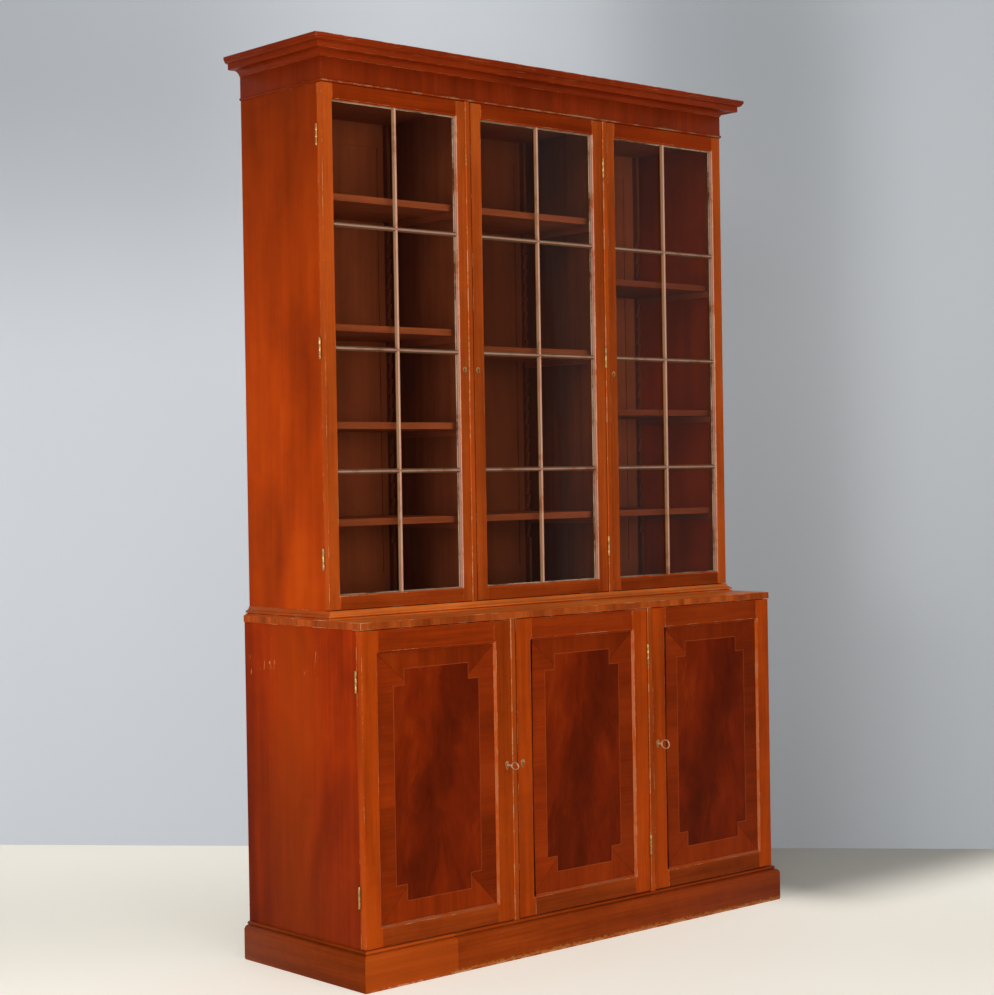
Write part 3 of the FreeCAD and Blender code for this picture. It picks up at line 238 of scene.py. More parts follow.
class Socket:
    """A shader value that can be written in sums."""

    def __init__(self, tree, socket):
        self.tree = tree
        self.socket = socket

    def maths(self, operation, *values):
        return self.tree.node("ShaderNodeMath", {"operation": operation}, dict(enumerate(values)))

    def __add__(self, other):
        return self.maths("ADD", self, other)

    __radd__ = __add__

    def __sub__(self, other):
        return self.maths("SUBTRACT", self, other)

    def __rsub__(self, other):
        return self.maths("SUBTRACT", other, self)

    def __mul__(self, other):
        return self.maths("MULTIPLY", self, other)

    __rmul__ = __mul__

    def __truediv__(self, other):
        return self.maths("DIVIDE", self, other)

    def __rtruediv__(self, other):
        return self.maths("DIVIDE", other, self)

    def __abs__(self):
        return self.maths("ABSOLUTE", self)


BLACK = (0.0, 0.0, 0.0)
SHEEN = 0.05
POLISH_TINT = (1.0, 0.5, 0.25, 1.0)


class Tree:
    """The node tree of a material, filled by one method."""

    def __init__(self, name):
        self.material = bpy.data.materials.new(name)
        self.material.use_nodes = True
        self.nodes = self.material.node_tree.nodes
        self.links = self.material.node_tree.links
        self.nodes.clear()

    def node(self, kind, settings=None, inputs=None, output=0):
        """Add a node: its settings first, then the values or links of its sockets.

        Several outputs are given as a tuple."""
        node = self.nodes.new(kind)
        for key, value in (settings or {}).items():
            if key == "stops":
                ramp = node.color_ramp.elements
                for index, (place, tint) in enumerate(value):
                    stop = ramp[index] if index < len(ramp) else ramp.new(place)
                    stop.position = place
                    stop.color = (*tint, 1)
            else:
                setattr(node, key, value)
        for key, value in (inputs or {}).items():
            slot = node.inputs[key]
            if isinstance(value, Socket):
                self.links.new(value.socket, slot)
            else:
                short = slot.type == "RGBA" and len(value) == 3
                slot.default_value = (*value, 1) if short else value
        if isinstance(output, tuple):
            return tuple(Socket(self, node.outputs[index]) for index in output)
        return Socket(self, node.outputs[output]) if node.outputs else None

    def place(self):
        """Object coordinates."""
        return self.node("ShaderNodeTexCoord", output="Object")

    def axes(self, vector):
        """The three parts of a vector."""
        return self.node("ShaderNodeSeparateXYZ", None, {0: vector}, (0, 1, 2))

    def attribute(self, name):
        """A number that the mesh carries."""
        return self.node("ShaderNodeAttribute", {"attribute_name": name}, output="Fac")

    def noise(self, place, scale, detail=2.0, rough=0.5, twist=0.0):
        """Noise at a vector, or at one put together from three values."""
        if isinstance(place, tuple):
            place = self.node("ShaderNodeCombineXYZ", None, dict(enumerate(place)))
        return self.node("ShaderNodeTexNoise", None, {
            "Vector": place, "Scale": scale, "Detail": detail, "Roughness": rough,
            "Distortion": twist}, output="Fac")

    def step(self, value, low, high):
        """A soft step from low to high."""
        return self.node("ShaderNodeMapRange", {"interpolation_type": "SMOOTHSTEP"}, {
            "Value": value, "From Min": low, "From Max": high})

    def mix(self, amount, first, second):
        """Two colours mixed."""
        return self.node("ShaderNodeMix", {"data_type": "RGBA"}, {0: amount, 6: first, 7: second},
                         2)

    def ramp(self, value, *stops):
        return self.node("ShaderNodeValToRGB", {"stops": stops}, {"Fac": value})

    def bump(self, height, distance, strength=0.4):
        return self.node("ShaderNodeBump", None, {
            "Height": height, "Distance": distance, "Strength": strength})

    def shader(self, **inputs):
        """A Principled shader."""
        names = {key.replace("_", " "): value for key, value in inputs.items()}
        return self.node("ShaderNodeBsdfPrincipled", None, names)

    def close(self, surface):
        """Close the material with a shader."""
        self.node("ShaderNodeOutputMaterial", None, {"Surface": surface})
        return self.material

    def blend(self, amount, first, second):
        """Close the material with two shaders mixed."""
        return self.close(self.node("ShaderNodeMixShader", None,
                                    {0: amount, 1: first, 2: second}))

    def polished(self, body, rough, normal):
        """Close the material as polished wood."""
        return self.close(self.shader(Base_Color=body, Roughness=rough, Normal=normal,
                                      Specular_IOR_Level=SHEEN, Specular_Tint=POLISH_TINT))


def scaled(tint, *factors):
    """A colour made darker or lighter, by one factor or by one for each part."""
    return tuple(min(1.0, part * factor) for part, factor in zip(tint, factors * 3))


def wood(name, tint, along, contrast=1.0, stripe=1.0, gloss=0.36, shift=0.0, wear=0.0,
         fine=1.0, blotch=1.0, dim=1.0, height_shade=None, shade_step=None, scrape=None,
         hollow=None, flare=None, kick=None):
    """Polished mahogany with its grain along x, y or z, moved apart from board to board.

    The height_shade darkens it between two heights, as painted shade where the light falls off towards
    the top of the upper side and the foot of the lower side. The shade_step darkens it between two x, as
    painted shade, and makes it lighter left of a joint. The scrape is a band of heights where it is
    scratched, the hollow is the middle bay made dimmer as painted shade, and the flare is a zone across
    a side where the wood is more orange, with a darker back edge. The kick is a scuffed foot: how high
    it reaches, and the two x between which it sets in."""
    paints = bpy.context.scene.bookcase_colours
    tree = Tree(name)
    tint = scaled(tint, dim)
    place = tree.place()
    x, y, z = tree.axes(place)
    number = tree.attribute("board")
    first, second, third = {"x": (y, z, x), "y": (x, z, y), "z": (x, y, z)}[along]
    a, b, c = first + number * 3.7 + shift, second + number * 5.3, third + number * 2.1
    drift = tree.noise((a, b, c * 0.45), 3.1, 3, 0.55, 0.4)
    wander = tree.noise((a, b, c * 0.35), 6.0, 2, 0.5) - 0.5
    bands = tree.noise((a + wander * 0.012, b + wander * 0.012, c * 0.05), 34.0, 2, 0.55)
    streak = tree.noise((a + wander * 0.006, b + wander * 0.006, c * 0.028), 160.0, 4, 0.62)
    pores = tree.step(tree.noise((a, b, c * 0.03), 850.0, 2, 0.6), 0.60, 0.72)
    mottle = tree.noise((a * 0.6, b * 0.6, c), 26.0, 2, 0.5, 0.6)
    level = (0.5 + (drift - 0.5) * (1.15 * contrast * blotch)
             + (bands - 0.5) * (0.75 * contrast * stripe)
             + (streak - 0.5) * (0.55 * contrast * fine) + (mottle - 0.5) * (0.22 * contrast))
    body = tree.ramp(level, (0.10, scaled(tint, 0.52, 0.44, 0.45)), (0.42, scaled(tint, 0.86)),
                     (0.58, scaled(tint, 1.1)), (0.92, scaled(tint, 1.45, 1.75, 1.9)))
    body = tree.mix(pores * (0.36 * fine), body, scaled(tint, 0.32))
    # Each board's own darkness and its painted shade, carried by the mesh.
    body = tree.mix(tree.attribute("tone"), body, BLACK)
    # Painted shade: the middle bay is dimmer.
    if hollow:
        half, share = hollow
        middle = 1 - tree.step(abs(x), half - 0.03, half + 0.02)
        body = tree.mix(middle * (1 - share), body, BLACK)
    if flare:
        centre, half, share = flare
        zone = (1 - tree.step(abs(y - centre + (drift - 0.5) * 0.25), 0.02, half)) * share
        body = tree.mix(zone, body, scaled(tint, 1.18, 1.8, 1.6))
        body = tree.mix(tree.step(y, *BACK_EDGE) * 0.3, body, BLACK)
    # Painted shade: darker towards one end of a span of heights, where the light falls off.
    if height_shade:
        low, high, share = height_shade
        amount = tree.step(z, low, high) if high > low else 1 - tree.step(z, high, low)
        body = tree.mix(amount * (1 - share), body, BLACK)
    # Painted shade between two x, and lighter wood left of a joint.
    if shade_step:
        joint, low, high, share = shade_step
        body = tree.mix(tree.step(x, low, high) * (1 - share), body, scaled(tint, 0.2, 0, 0))
        body = tree.mix((1 - tree.step(x, joint, joint + 0.001)) * 0.3, body,
                        scaled(tint, 1.7, 2.0, 1.8))
    if wear:
        scratch = tree.noise((a, b, c * 0.16), 120.0, 5, 0.75, 1.2)
        scuffs = (tree.step(scratch, 0.70, 0.78)
                  * tree.step(tree.noise(place, 7.0, 3, 0.6), 0.50, 0.66))
        if scrape:
            low, high = scrape
            stroke = tree.noise((x, y + z * 0.12, z * 0.16), 130.0, 3, 0.6, 0.5)
            band = tree.step(z, low - 0.03, low) * (1 - tree.step(z, high, high + 0.03))
            patch = tree.step(tree.noise(place, 17.0, 2, 0.5), 0.54, 0.64)
            scuffs = scuffs + tree.step(stroke, 0.62, 0.68) * band * patch
        body = tree.mix(scuffs * wear, body, scaled(paints.worn, 1, 0.75, 0.55))
    if kick:
        high, start, full = kick
        speckle = tree.noise((x, y, z * 2.0), 90.0, 4, 0.7)
        reach = 1 - tree.step(z + (speckle - 0.5) * high * 2.5, high * 0.4, high)
        body = tree.mix(reach * tree.step(x, start, full) * 0.75, body, tuple(paints.scuffed))
    smear = tree.noise(place, 9.0, 4, 0.6, 0.8)
    rough = gloss + (smear - 0.5) * 0.16 + pores * 0.14 + (streak - 0.5) * 0.06
    height = streak * 0.35 - pores * 0.8 + smear * 0.4
    return tree.polished(body, rough, tree.bump(height, 0.00018, 0.5))


def worn_edge(name, tint, bare, share):
    """An arris: polish in places, bare wood in others, which on the frieze bead and the facings is also
    a painted highlight.
    """
    tree = Tree(name)
    place = tree.place()
    nicks = tree.noise(place, 180.0, 3, 0.6)
    edge = 0.62 - share * 0.24
    amount = tree.step(tree.noise(place, 16.0, 5, 0.7) + (nicks - 0.5) * 0.35, edge, edge + 0.14)
    body = tree.mix(amount * 0.8, scaled(tint, 1.2), bare)
    return tree.polished(body, 0.4 + amount * 0.25, tree.bump(nicks, 0.0003, 0.5))


def rubbed_and_lit(name, tint, under, share):
    """A bevel or nose: a pale colour, partly worn old polish and partly painted highlight, brown again
    in places.
    """
    tree = Tree(name)
    place = tree.place()
    x, y, z = tree.axes(place)
    fine = tree.noise((x * 3.0, y * 3.0, z), 90.0, 3, 0.6)
    amount = tree.step(tree.noise(place, 11.0, 4, 0.6) + (fine - 0.5) * 0.3,
                       0.64 - share * 0.6, 0.88 - share * 0.6)
    body = tree.mix(amount, under, tint)
    return tree.polished(body, 0.42 + fine * 0.12, tree.bump(fine, 0.0002))


def flame(name, tint, centre, lean, lift, dim):
    """Crotch veneer: a dark plume that leans across the field from its head to its foot."""
    tree = Tree(name)
    tint = scaled(tint, dim)
    x, y, z = tree.axes(tree.place())
    off = x - centre
    across = off / FIELD_HALF_WIDE
    up = (z - FIELD_MIDDLE) / FIELD_HALF_HIGH
    warp = tree.noise((x, 0.0, z), 6.5, 3, 0.6, 0.4) - 0.5
    warp_fine = tree.noise((x, 0.0, z), 24.0, 3, 0.6) - 0.5
    dark = 1 - tree.step(abs(across - up * lean + warp * 1.5 + warp_fine * 0.35), 0.05, 0.75)
    glow = (tree.step(up + warp * 0.8, -0.15 + lift, 0.75 + lift)
            * tree.step(across * -1.0 + warp * 1.4, -0.3, 0.7))
    feather = tree.noise((off + warp * 0.05, 0.0, z * 0.42 + abs(off) * 0.9), 30.0, 4, 0.6, 0.5)
    cloud = tree.noise((x * 1.3 + warp * 0.04, 0.0, z * 0.5), 11.0, 4, 0.62, 0.7)
    fibre = tree.noise((x + warp * 0.02, 0.0, z * 0.05), 240.0, 3, 0.6)
    level = (0.52 - dark * 0.19 + glow * 0.13 + (cloud - 0.5) * 0.62 + (feather - 0.5) * 0.34
             + (fibre - 0.5) * 0.16)
    body = tree.ramp(level, (0.12, scaled(tint, 0.38, 0.36, 0.6)), (0.40, scaled(tint, 0.74)),
                     (0.60, scaled(tint, 1.16)), (0.86, scaled(tint, 1.75, 2.3, 1.7)))
    smear = tree.noise(tree.place(), 8.0, 4, 0.6, 0.6)
    return tree.polished(body, 0.3 + (smear - 0.5) * 0.12,
                         tree.bump(feather * 0.5 + fibre * 0.3, 0.00012))


def old_glass(name):
    """Thin, clear window glass with a trace of waviness and dust."""
    tree = Tree(name)
    place = tree.place()
    normal = tree.bump(tree.noise(place, 4.0, 1, 0.5), 0.0012, 0.5)
    facing = tree.node("ShaderNodeFresnel", None, {"IOR": 1.45, "Normal": normal})
    clear = tree.node("ShaderNodeBsdfTransparent", None, {"Color": (0.95, 0.94, 0.92)})
    shine = tree.shader(Base_Color=(0.9, 0.88, 0.84), Metallic=1.0, Roughness=0.04, Normal=normal)
    film = tree.step(tree.noise(place, 26.0, 4, 0.7, 0.5), 0.52, 0.8)
    return tree.blend(facing * 0.04 + film * 0.003, clear, shine)


def metal(name, tint, roughness, tarnish, shine):
    """Aged metal: bright where it is handled, dull and brown elsewhere."""
    tree = Tree(name)
    place = tree.place()
    specks = tree.noise(place, 900.0, 2, 0.6)
    amount = tree.step(tree.noise(place, 90.0, 4, 0.65) + (specks - 0.5) * 0.3, 0.42, 0.66)
    return tree.close(tree.shader(
        Base_Color=tree.mix(amount * tarnish, tint, scaled(tint, 0.28)),
        Metallic=(1.0 - amount * 0.35) * shine, Roughness=roughness + amount * 0.25,
        Normal=tree.bump(specks, 0.00004)))


def plain(tree, tint, shadow, dark, rough, glow):
    """A clouded paint, darker in its shadow, with a glow that is seen but lights nothing."""
    cloud = tree.step(tree.noise(tree.place(), 0.7, 2, 0.5), 0.3, 0.7)
    body = tree.mix(cloud, scaled(tint, 0.985), scaled(tint, 1.01))
    seen = 0.0
    for ray in ("Is Camera Ray", "Is Glossy Ray", "Is Transmission Ray"):
        seen = tree.node("ShaderNodeLightPath", output=ray) + seen
    return tree.shader(Base_Color=tree.mix(shadow, body, scaled(tint, dark)),
                       Roughness=rough, Specular_IOR_Level=0.2, Emission_Strength=1.0,
                       Emission_Color=tree.mix(glow * seen, BLACK, tint))


def backdrop(name, tint):
    """The wall behind, with painted light and shade: lighter on the left at the height of the doors,
    darker low on the right, and a painted shadow beside the bookcase.

    It is clear from its back, so that it hides nothing from the other sides."""
    tree = Tree(name)
    x, y, z = tree.axes(tree.place())
    along = (x - WALL_FOOT[0].x) * WALL_ALONG.x + (y - WALL_FOOT[0].y) * WALL_ALONG.y
    right = tree.step(along, 1.6, 3.0)
    low = 1 - tree.step(z, 0.2, 1.9)
    # Painted shadow of the bookcase on the wall beside it.
    beside = tree.step(along, 1.9, 2.3) * (1 - tree.step(along, 2.45, 2.95))
    below = 1 - tree.step(z, 1.6, 2.8)
    centre = tree.step(along, 0.4, 1.4)
    glow = ((1 - right) * (0.08 + below * 0.34 + centre * 0.19 * (1 - below * 0.7))
            + tree.step(along, 2.6, 3.1) * 0.14) * (1 - beside * 0.4)
    paint = plain(tree, tint, right * (0.45 + low * 0.25) + beside * 0.24, 0.6, 0.9, glow)
    return tree.blend(tree.node("ShaderNodeNewGeometry", output="Backfacing"), paint,
                      tree.node("ShaderNodeBsdfTransparent"))


def ground(name, tint):
    """The floor, with a painted shadow and less glow where the bookcase's shadow falls, and painted
    shade towards the far right.
    """
    tree = Tree(name)
    x, y, z = tree.axes(tree.place())
    shadow = tree.step(x, 0.65, 1.0) * tree.step(y, -0.6, -0.15)
    from_wall = (WALL_FOOT[0].x - x) * -WALL_ALONG.y + (WALL_FOOT[0].y - y) * WALL_ALONG.x
    near = 1 - tree.step(from_wall, 0.05, 1.6)
    glow = (0.38 + tree.step(x, -1.2, 0.4) * 0.05 + near * 0.2) * (1 - shadow)
    far_right = tree.step(x, 0.5, 1.5) * (1 - shadow) * 0.3
    return tree.close(plain(tree, tint, shadow + far_right, 0.72, 0.75, glow))


# Finishes. A wood's name ends with the axis of its grain.
WOODS = {
    # The upper side darkens towards its top and the lower side towards the floor: painted shade where
    # the light falls off.
    "side": ("side", dict(contrast=0.62, stripe=0.6, fine=0.7, blotch=1.9, wear=0.35,
                          height_shade=(1.45, 2.35, 0.62))),
    "lower_side": ("lower_side", dict(contrast=0.85, stripe=0.8, blotch=1.9, wear=0.8, shift=2.0,
                                      scrape=(0.76, 0.85), height_shade=(0.8, 0.02, 0.62),
                                      flare=(0.06, 0.17, 0.5))),
    "stile": ("stile", dict(contrast=0.75, stripe=1.1, wear=0.3, blotch=1.3)),
    "lower_stile": ("lower_stile", dict(contrast=0.75, stripe=1.1, wear=0.3, blotch=1.3)),
    "rail": ("rail", dict(contrast=0.9)),
    "foot_rail": ("plinth", dict(contrast=0.9, dim=0.78)),
    "facing": ("stile", dict(contrast=0.7, shift=4.0, dim=0.9)),
    # The cornice's front is a lighter copy of the moulding wood that its sides keep: painted light.
    "cornice": ("moulding", dict(contrast=0.8, stripe=0.6, dim=1.25)),
    "cornice_side": ("moulding", dict(contrast=0.8, stripe=0.6)),
    "frieze": ("moulding", dict(contrast=0.6, stripe=1.2)),
    # The waist's front and the worktop's top take a lighter colour, painted highlight; the waist's sides
    # a darker one, painted shade.
    "waist": ("waist", dict(contrast=0.9, wear=0.4)),
    "waist_side": ("worktop", dict(contrast=0.9, wear=0.5)),
    "worktop": ("worktop", dict(stripe=1.5)),
    # The plinth's front darkens to the right through its shade_step, and its sides are a darker copy:
    # painted shade.
    "plinth": ("plinth", dict(contrast=0.9, wear=0.6, kick=(0.013, -0.6, -0.4),
                              shade_step=(-0.483, -0.3, 0.75, 0.62))),
    "plinth_side": ("plinth", dict(contrast=0.9, wear=0.5, dim=0.62)),
    "border": ("border", dict(contrast=0.8, stripe=0.7, blotch=1.3, gloss=0.3)),
    "line": ("line", dict(contrast=0.4)),
    "inside": ("inside", dict(contrast=0.6, stripe=0.6, fine=0.6, gloss=0.5)),
    # The middle bay of the upper back is dimmer: painted shade.
    "upper_back": ("inside", dict(contrast=0.6, stripe=0.6, fine=0.6, gloss=0.5,
                                  hollow=(0.25, 0.6))),
    # The partitions and racks are darker copies of the inside wood: painted shade.
    "partition": ("inside", dict(contrast=0.8, gloss=0.5, dim=0.62)),
    "rack": ("inside", dict(contrast=0.8, gloss=0.5, dim=0.6)),
    "panel_back": ("inside", dict(contrast=0.7, gloss=0.45, shift=3.0)),
    # The shelves of the right bay are darker: painted shade.
    "shelf": ("inside", dict(contrast=0.7, gloss=0.45, shift=1.0, shade_step=(-9, 0.25, 0.27, 0.55))),
}
# Each field's centre, the lean and the lift of its plume, and how dim it is.
FLAMES = {"left": (-0.518, 0.62, 0.0, 1.04), "middle": (0.0, 0.55, 0.05, 0.98),
          "right": (0.518, 0.66, -0.1, 0.93)}
# The polish, a factor for the bare wood, and the share that is bare. On the facings and the frieze
# bead the bare wood is also a painted highlight.
EDGES = {"worn_edge": ("side", 1, 0.5), "worn_dark": ("moulding", 0.75, 0.5),
         "bare_edge": ("stile", 0.8, 0.62), "foot_edge": ("plinth", 1, 0.8),
         "crown_edge": ("moulding", 1.15, 0.7), "bead_edge": ("moulding", 0.55, 0.8)}
# The pale colour and the brown under it, each with a factor, and the share that is pale.
# On bevels, bar noses and reveals the pale colour is partly worn polish and partly painted highlight;
# the foot bevel and the level bars take darker copies as painted shade.
RUBBED_AND_LIT = {"bevel": ("bevel", 1, "stile", 1.05, 0.45),
          "foot_bevel": ("bevel", 0.62, "plinth", 0.9, 0.45),
          "reveal": ("bar", 0.95, "bevel", 0.9, 0.6), "bar_nose": ("bar", 1, "bevel", 1, 0.6),
          "level_nose": ("bar", 0.66, "bevel", 0.5, 0.6),
          "bar_side": ("bar_side", 1, "bar_side", 0.5, 0.6),
          "level_side": ("bar_side", 0.5, "bar_side", 0.3, 0.6),
          "putty": ("putty", 1, "bar_side", 0.45, 0.5), "joint": ("field", 0.5, "field", 0.25, 0.6)}
# The colour and its three factors, roughness, tarnish and shine.
METALS = {"brass": ("brass", (1, 1, 1), 0.32, 0.8, 1.0),
          "dark_brass": ("brass", (0.95, 0.8, 0.75), 0.4, 0.75, 0.75),
          "key_metal": ("key", (1, 1, 1), 0.42, 0.45, 0.55),
          "steel": ("steel", (1, 1, 1), 0.3, 0.4, 1.0)}
STAGE_PAINTS = {"backdrop": backdrop, "floor": ground}
# How dark the parts of each door frame are, and the strips of each panel's border: partly their own
# colour, partly painted shade.
FRAME_PARTS = ("left_stile", "right_stile", "foot_rail", "head_rail")
FRAME_TONE_AND_SHADE = {
    "upper_door_left": (0.0, 0.2, 0.0, 0.15), "upper_door_middle": (0.18, 0.2, 0.1, 0.3),
    "upper_door_right": (0.2, 0.15, 0.06, 0.18), "lower_door_left": (0.1, 0.3, 0.04, 0.03),
    "lower_door_middle": (0.06, 0.07, 0.04, 0.16), "lower_door_right": (0.14, 0.12, 0.0, 0.28),
}
BORDER_TONE_AND_SHADE = {
    "left": {"left": 0.0, "right": 0.16, "low": 0.0, "top": 0.2},
    "middle": {"left": 0.0, "right": 0.24, "low": 0.16, "top": 0.28},
    "right": {"left": 0.2, "right": 0.3, "low": 0.2, "top": 0.28},
}


FINISHES = {}


def finish(name):
    """A finished material, made when it is first asked for."""
    if name not in FINISHES:
        FINISHES[name] = make_finish(name)
    return FINISHES[name]


def make_finish(name):
    tints = {key: tuple(getattr(bpy.context.scene.bookcase_colours, key))
             for key in BookcaseColours.__annotations__}
    kind, _, along = name.rpartition("_")
    if kind in WOODS:
        tint, options = WOODS[kind]
        return wood(name, tints[tint], along, **options)
    if kind == "flame":
        return flame(name, tints["field"], *FLAMES[along])
    if name in EDGES:
        tint, factor, share = EDGES[name]
        return worn_edge(name, tints[tint], scaled(tints["worn"], factor), share)
    if name in RUBBED_AND_LIT:
        pale, factor, brown, under, share = RUBBED_AND_LIT[name]
        return rubbed_and_lit(name, scaled(tints[pale], factor), scaled(tints[brown], under), share)
    if name in METALS:
        tint, factors, *rest = METALS[name]
        return metal(name, scaled(tints[tint], *factors), *rest)
    if name in STAGE_PAINTS:
        return STAGE_PAINTS[name](name, tints[name])
    if name == "glass":
        return old_glass(name)
    raise RuntimeError(f"no finish named {name}")


# Making pieces


def at(x, depth, z):
    """A point from millimetres: x, depth forward of the back plane and height."""
    return Vector((x * MM, (BACK - depth) * MM, z * MM))


def run(x=0, depth=0, z=0):
    """A way to pull a section along, in millimetres."""
    return Vector((x * MM, -depth * MM, z * MM))


def deselect():
    if bpy.context.mode != "OBJECT":
        bpy.ops.object.mode_set(mode="OBJECT")
    bpy.ops.object.select_all(action="DESELECT")


def take(piece):
    """Make a piece the only one selected."""
    deselect()
    piece.select_set(True)
    bpy.context.view_layer.objects.active = piece


def edit(piece):
    """Go into edit mode with all of a piece selected."""
    take(piece)
    bpy.ops.object.mode_set(mode="EDIT")
    bpy.ops.mesh.select_mode(type="VERT")
    bpy.ops.mesh.select_all(action="SELECT")


def done():
    bpy.ops.object.mode_set(mode="OBJECT")


def settle(piece):
    """Put a piece's place, turn and scale into its mesh."""
    take(piece)
    bpy.ops.object.transform_apply(location=True, rotation=True, scale=True)
    return piece


def outward(piece):
    """Turn all faces of the piece in edit mode outwards, and leave edit mode."""
    bpy.ops.mesh.select_all(action="SELECT")
    bpy.ops.mesh.normals_make_consistent(inside=False)
    done()
    return piece


def named(name):
    piece = bpy.context.object
    piece.name = name
    piece.data.name = name
    return piece


def block(name, x, d, z):
    """A square block between two x, two depths and two heights."""
    low, high = at(min(x), max(d), min(z)), at(max(x), min(d), max(z))
    deselect()
    bpy.ops.mesh.primitive_cube_add(size=1, location=(low + high) / 2, scale=high - low)
    return settle(named(name))


def barrel(name, radius, length_mm, sides=24, foot=0.0):
    """A round bar on the z axis, in millimetres."""
    deselect()
    bpy.ops.mesh.primitive_cylinder_add(vertices=sides, radius=radius * MM, depth=length_mm * MM,
                                        location=(0, 0, (foot + length_mm / 2) * MM))
    return settle(named(name))


def rod(name, radius, near, far, x, z, sides=24):
    """A round bar that runs forward from one depth to another."""
    piece = barrel(name, radius, far - near, sides)
    piece.rotation_euler.x = math.radians(90)
    piece.location = at(x, near, z)
    return settle(piece)


def drawn(name, corners, along):
    """A solid drawn corner by corner and pulled out along a vector."""
    deselect()
    bpy.ops.mesh.primitive_plane_add(size=0.0005, location=corners[0])
    piece = settle(named(name))
    edit(piece)
    bpy.ops.mesh.merge(type="CENTER")
    path = list(corners) + [corners[0]]
    for here, there in zip(path, path[1:]):
        bpy.ops.mesh.extrude_region_move(TRANSFORM_OT_translate={"value": there - here})
    bpy.ops.mesh.select_all(action="SELECT")
    bpy.ops.mesh.remove_doubles(threshold=1e-6)
    bpy.ops.mesh.edge_face_add()
    bpy.ops.mesh.extrude_region_move(TRANSFORM_OT_translate={"value": along})
    return outward(piece)


def slice_off(piece, point, normal):
    """Cut a piece on a plane and drop what lies on the normal's side."""
    edit(piece)
    bpy.ops.mesh.bisect(plane_co=point, plane_no=normal, use_fill=True, clear_outer=True,
                        threshold=1e-6)
    return outward(piece)


def twin(piece, name):
    """A copy with a mesh of its own."""
    take(piece)
    bpy.ops.object.duplicate(linked=False)
    return named(name)


def modify(piece, kind, **settings):
    """Add a modifier and apply it."""
    take(piece)
    modifier = piece.modifiers.new(kind.lower(), kind)
    for key, value in settings.items():
        setattr(modifier, key, value)
    bpy.ops.object.modifier_apply(modifier=modifier.name)
    return piece


def carve(piece, *cutters):
    """Take cutters out of a piece."""
    for cutter in cutters:
        modify(piece, "BOOLEAN", operation="DIFFERENCE", object=cutter, solver="EXACT")
        bpy.data.objects.remove(cutter)
    return piece


def soften(piece, width, segments=2, angle=30, slot=-1):
    """Round the sharp edges."""
    return modify(piece, "BEVEL", width=width, segments=segments, limit_method="ANGLE",
                  angle_limit=math.radians(angle), use_clamp_overlap=False, material=slot,
                  miter_outer="MITER_ARC" if segments > 2 else "MITER_SHARP")


def coat(piece, *names):
    """Give a piece its materials in order."""
    piece.data.materials.clear()
    for name in names:
        piece.data.materials.append(finish(name))
    return piece


def mark(piece, number, tone=0.0):
    """Number a board, so that its grain differs from its neighbours', and say how dark it is, partly
    its own colour and partly painted shade.

    The tone is one number, or a list of one for each face."""
    attributes = piece.data.attributes
    for name, value in (("board", float(number)), ("tone", tone)):
        if isinstance(value, list):
            attributes.new(name, "FLOAT", "FACE").data.foreach_set("value", value)
        else:
            attributes.new(name, "FLOAT", "POINT").data.foreach_set(
                "value", [value] * len(piece.data.vertices))
    return piece


def join(name, pieces):
    """Several pieces made one object."""
    deselect()
    for piece in pieces:
        piece.select_set(True)
    bpy.context.view_layer.objects.active = pieces[0]
    bpy.ops.object.join()
    return named(name)


def smooth(piece, angle=30):
    take(piece)
    bpy.ops.object.shade_smooth_by_angle(angle=math.radians(angle))
    return piece


def hand_over(piece, body, slot, *nodes):
    """Let a finished piece ride on its body and stand for its nodes."""
    if not piece.data.polygons:
        raise RuntimeError(f"{piece.name} has no faces")
    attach(piece, body)
    if nodes:
        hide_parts(*nodes)


def board(name, x, d, z, number, look, arris=None, worn="worn_edge"):
    """A board with eased arrises."""
    piece = coat(block(name, x, d, z), look, worn)
    soften(piece, arris or bpy.context.scene.bookcase_sizes.arris, slot=1)
    return mark(piece, number)


def arc(start, end, radius, bulge, steps):
    """Points of an arc between two corners of a section, without the corners."""
    (u0, v0), (u1, v1) = start, end
    du, dv = u1 - u0, v1 - v0
    half = math.hypot(du, dv) / 2
    height = math.sqrt(max(radius * radius - half * half, 0))
    side = (-dv / (2 * half) * bulge, du / (2 * half) * bulge)
    centre = ((u0 + u1) / 2 - side[0] * height, (v0 + v1) / 2 - side[1] * height)
    first = math.atan2(v0 - centre[1], u0 - centre[0])
    last = math.atan2(v1 - centre[1], u1 - centre[0])
    turn = (last - first + math.pi) % (2 * math.pi) - math.pi
    return [(centre[0] + radius * math.cos(first + turn * step / steps),
             centre[1] + radius * math.sin(first + turn * step / steps))
            for step in range(1, steps)]


def rounded(corners, arcs, steps=8):
    """A section whose edges are arcs where the arcs give a radius and a bulge."""
    points = []
    for index, corner in enumerate(corners):
        points.append(corner)
        if index in arcs:
            points += arc(corner, corners[(index + 1) % len(corners)], *arcs[index], steps)
    return points


def mitred(name, half, depth, out, section, number, looks, worn="worn_dark", arris=0.4):
    """Three lengths of a moulding round the front and sides; section corners are (out, height)."""
    edge_x, edge_d = half + out, depth + out
    front = drawn("front", [at(-edge_x, depth + p, z) for p, z in section], run(x=2 * edge_x))
    side = drawn("left", [at(-half - p, 0, z) for p, z in section], run(depth=edge_d))
    for sign in (-1, 1):
        slice_off(front, at(sign * edge_x, edge_d, 0), Vector((sign, 1, 0)))
    slice_off(side, at(-edge_x, edge_d, 0), Vector((1, -1, 0)))
    other = twin(side, "right")
    other.scale.x = -1
    edit(settle(other))
    outward(other)
    for index, (piece, look) in enumerate(zip((front, side, other), looks)):
        soften(coat(piece, look, worn), arris * MM, 2, 32, 1)
        mark(piece, number + index)
    return smooth(join(name, (front, side, other)), 28)


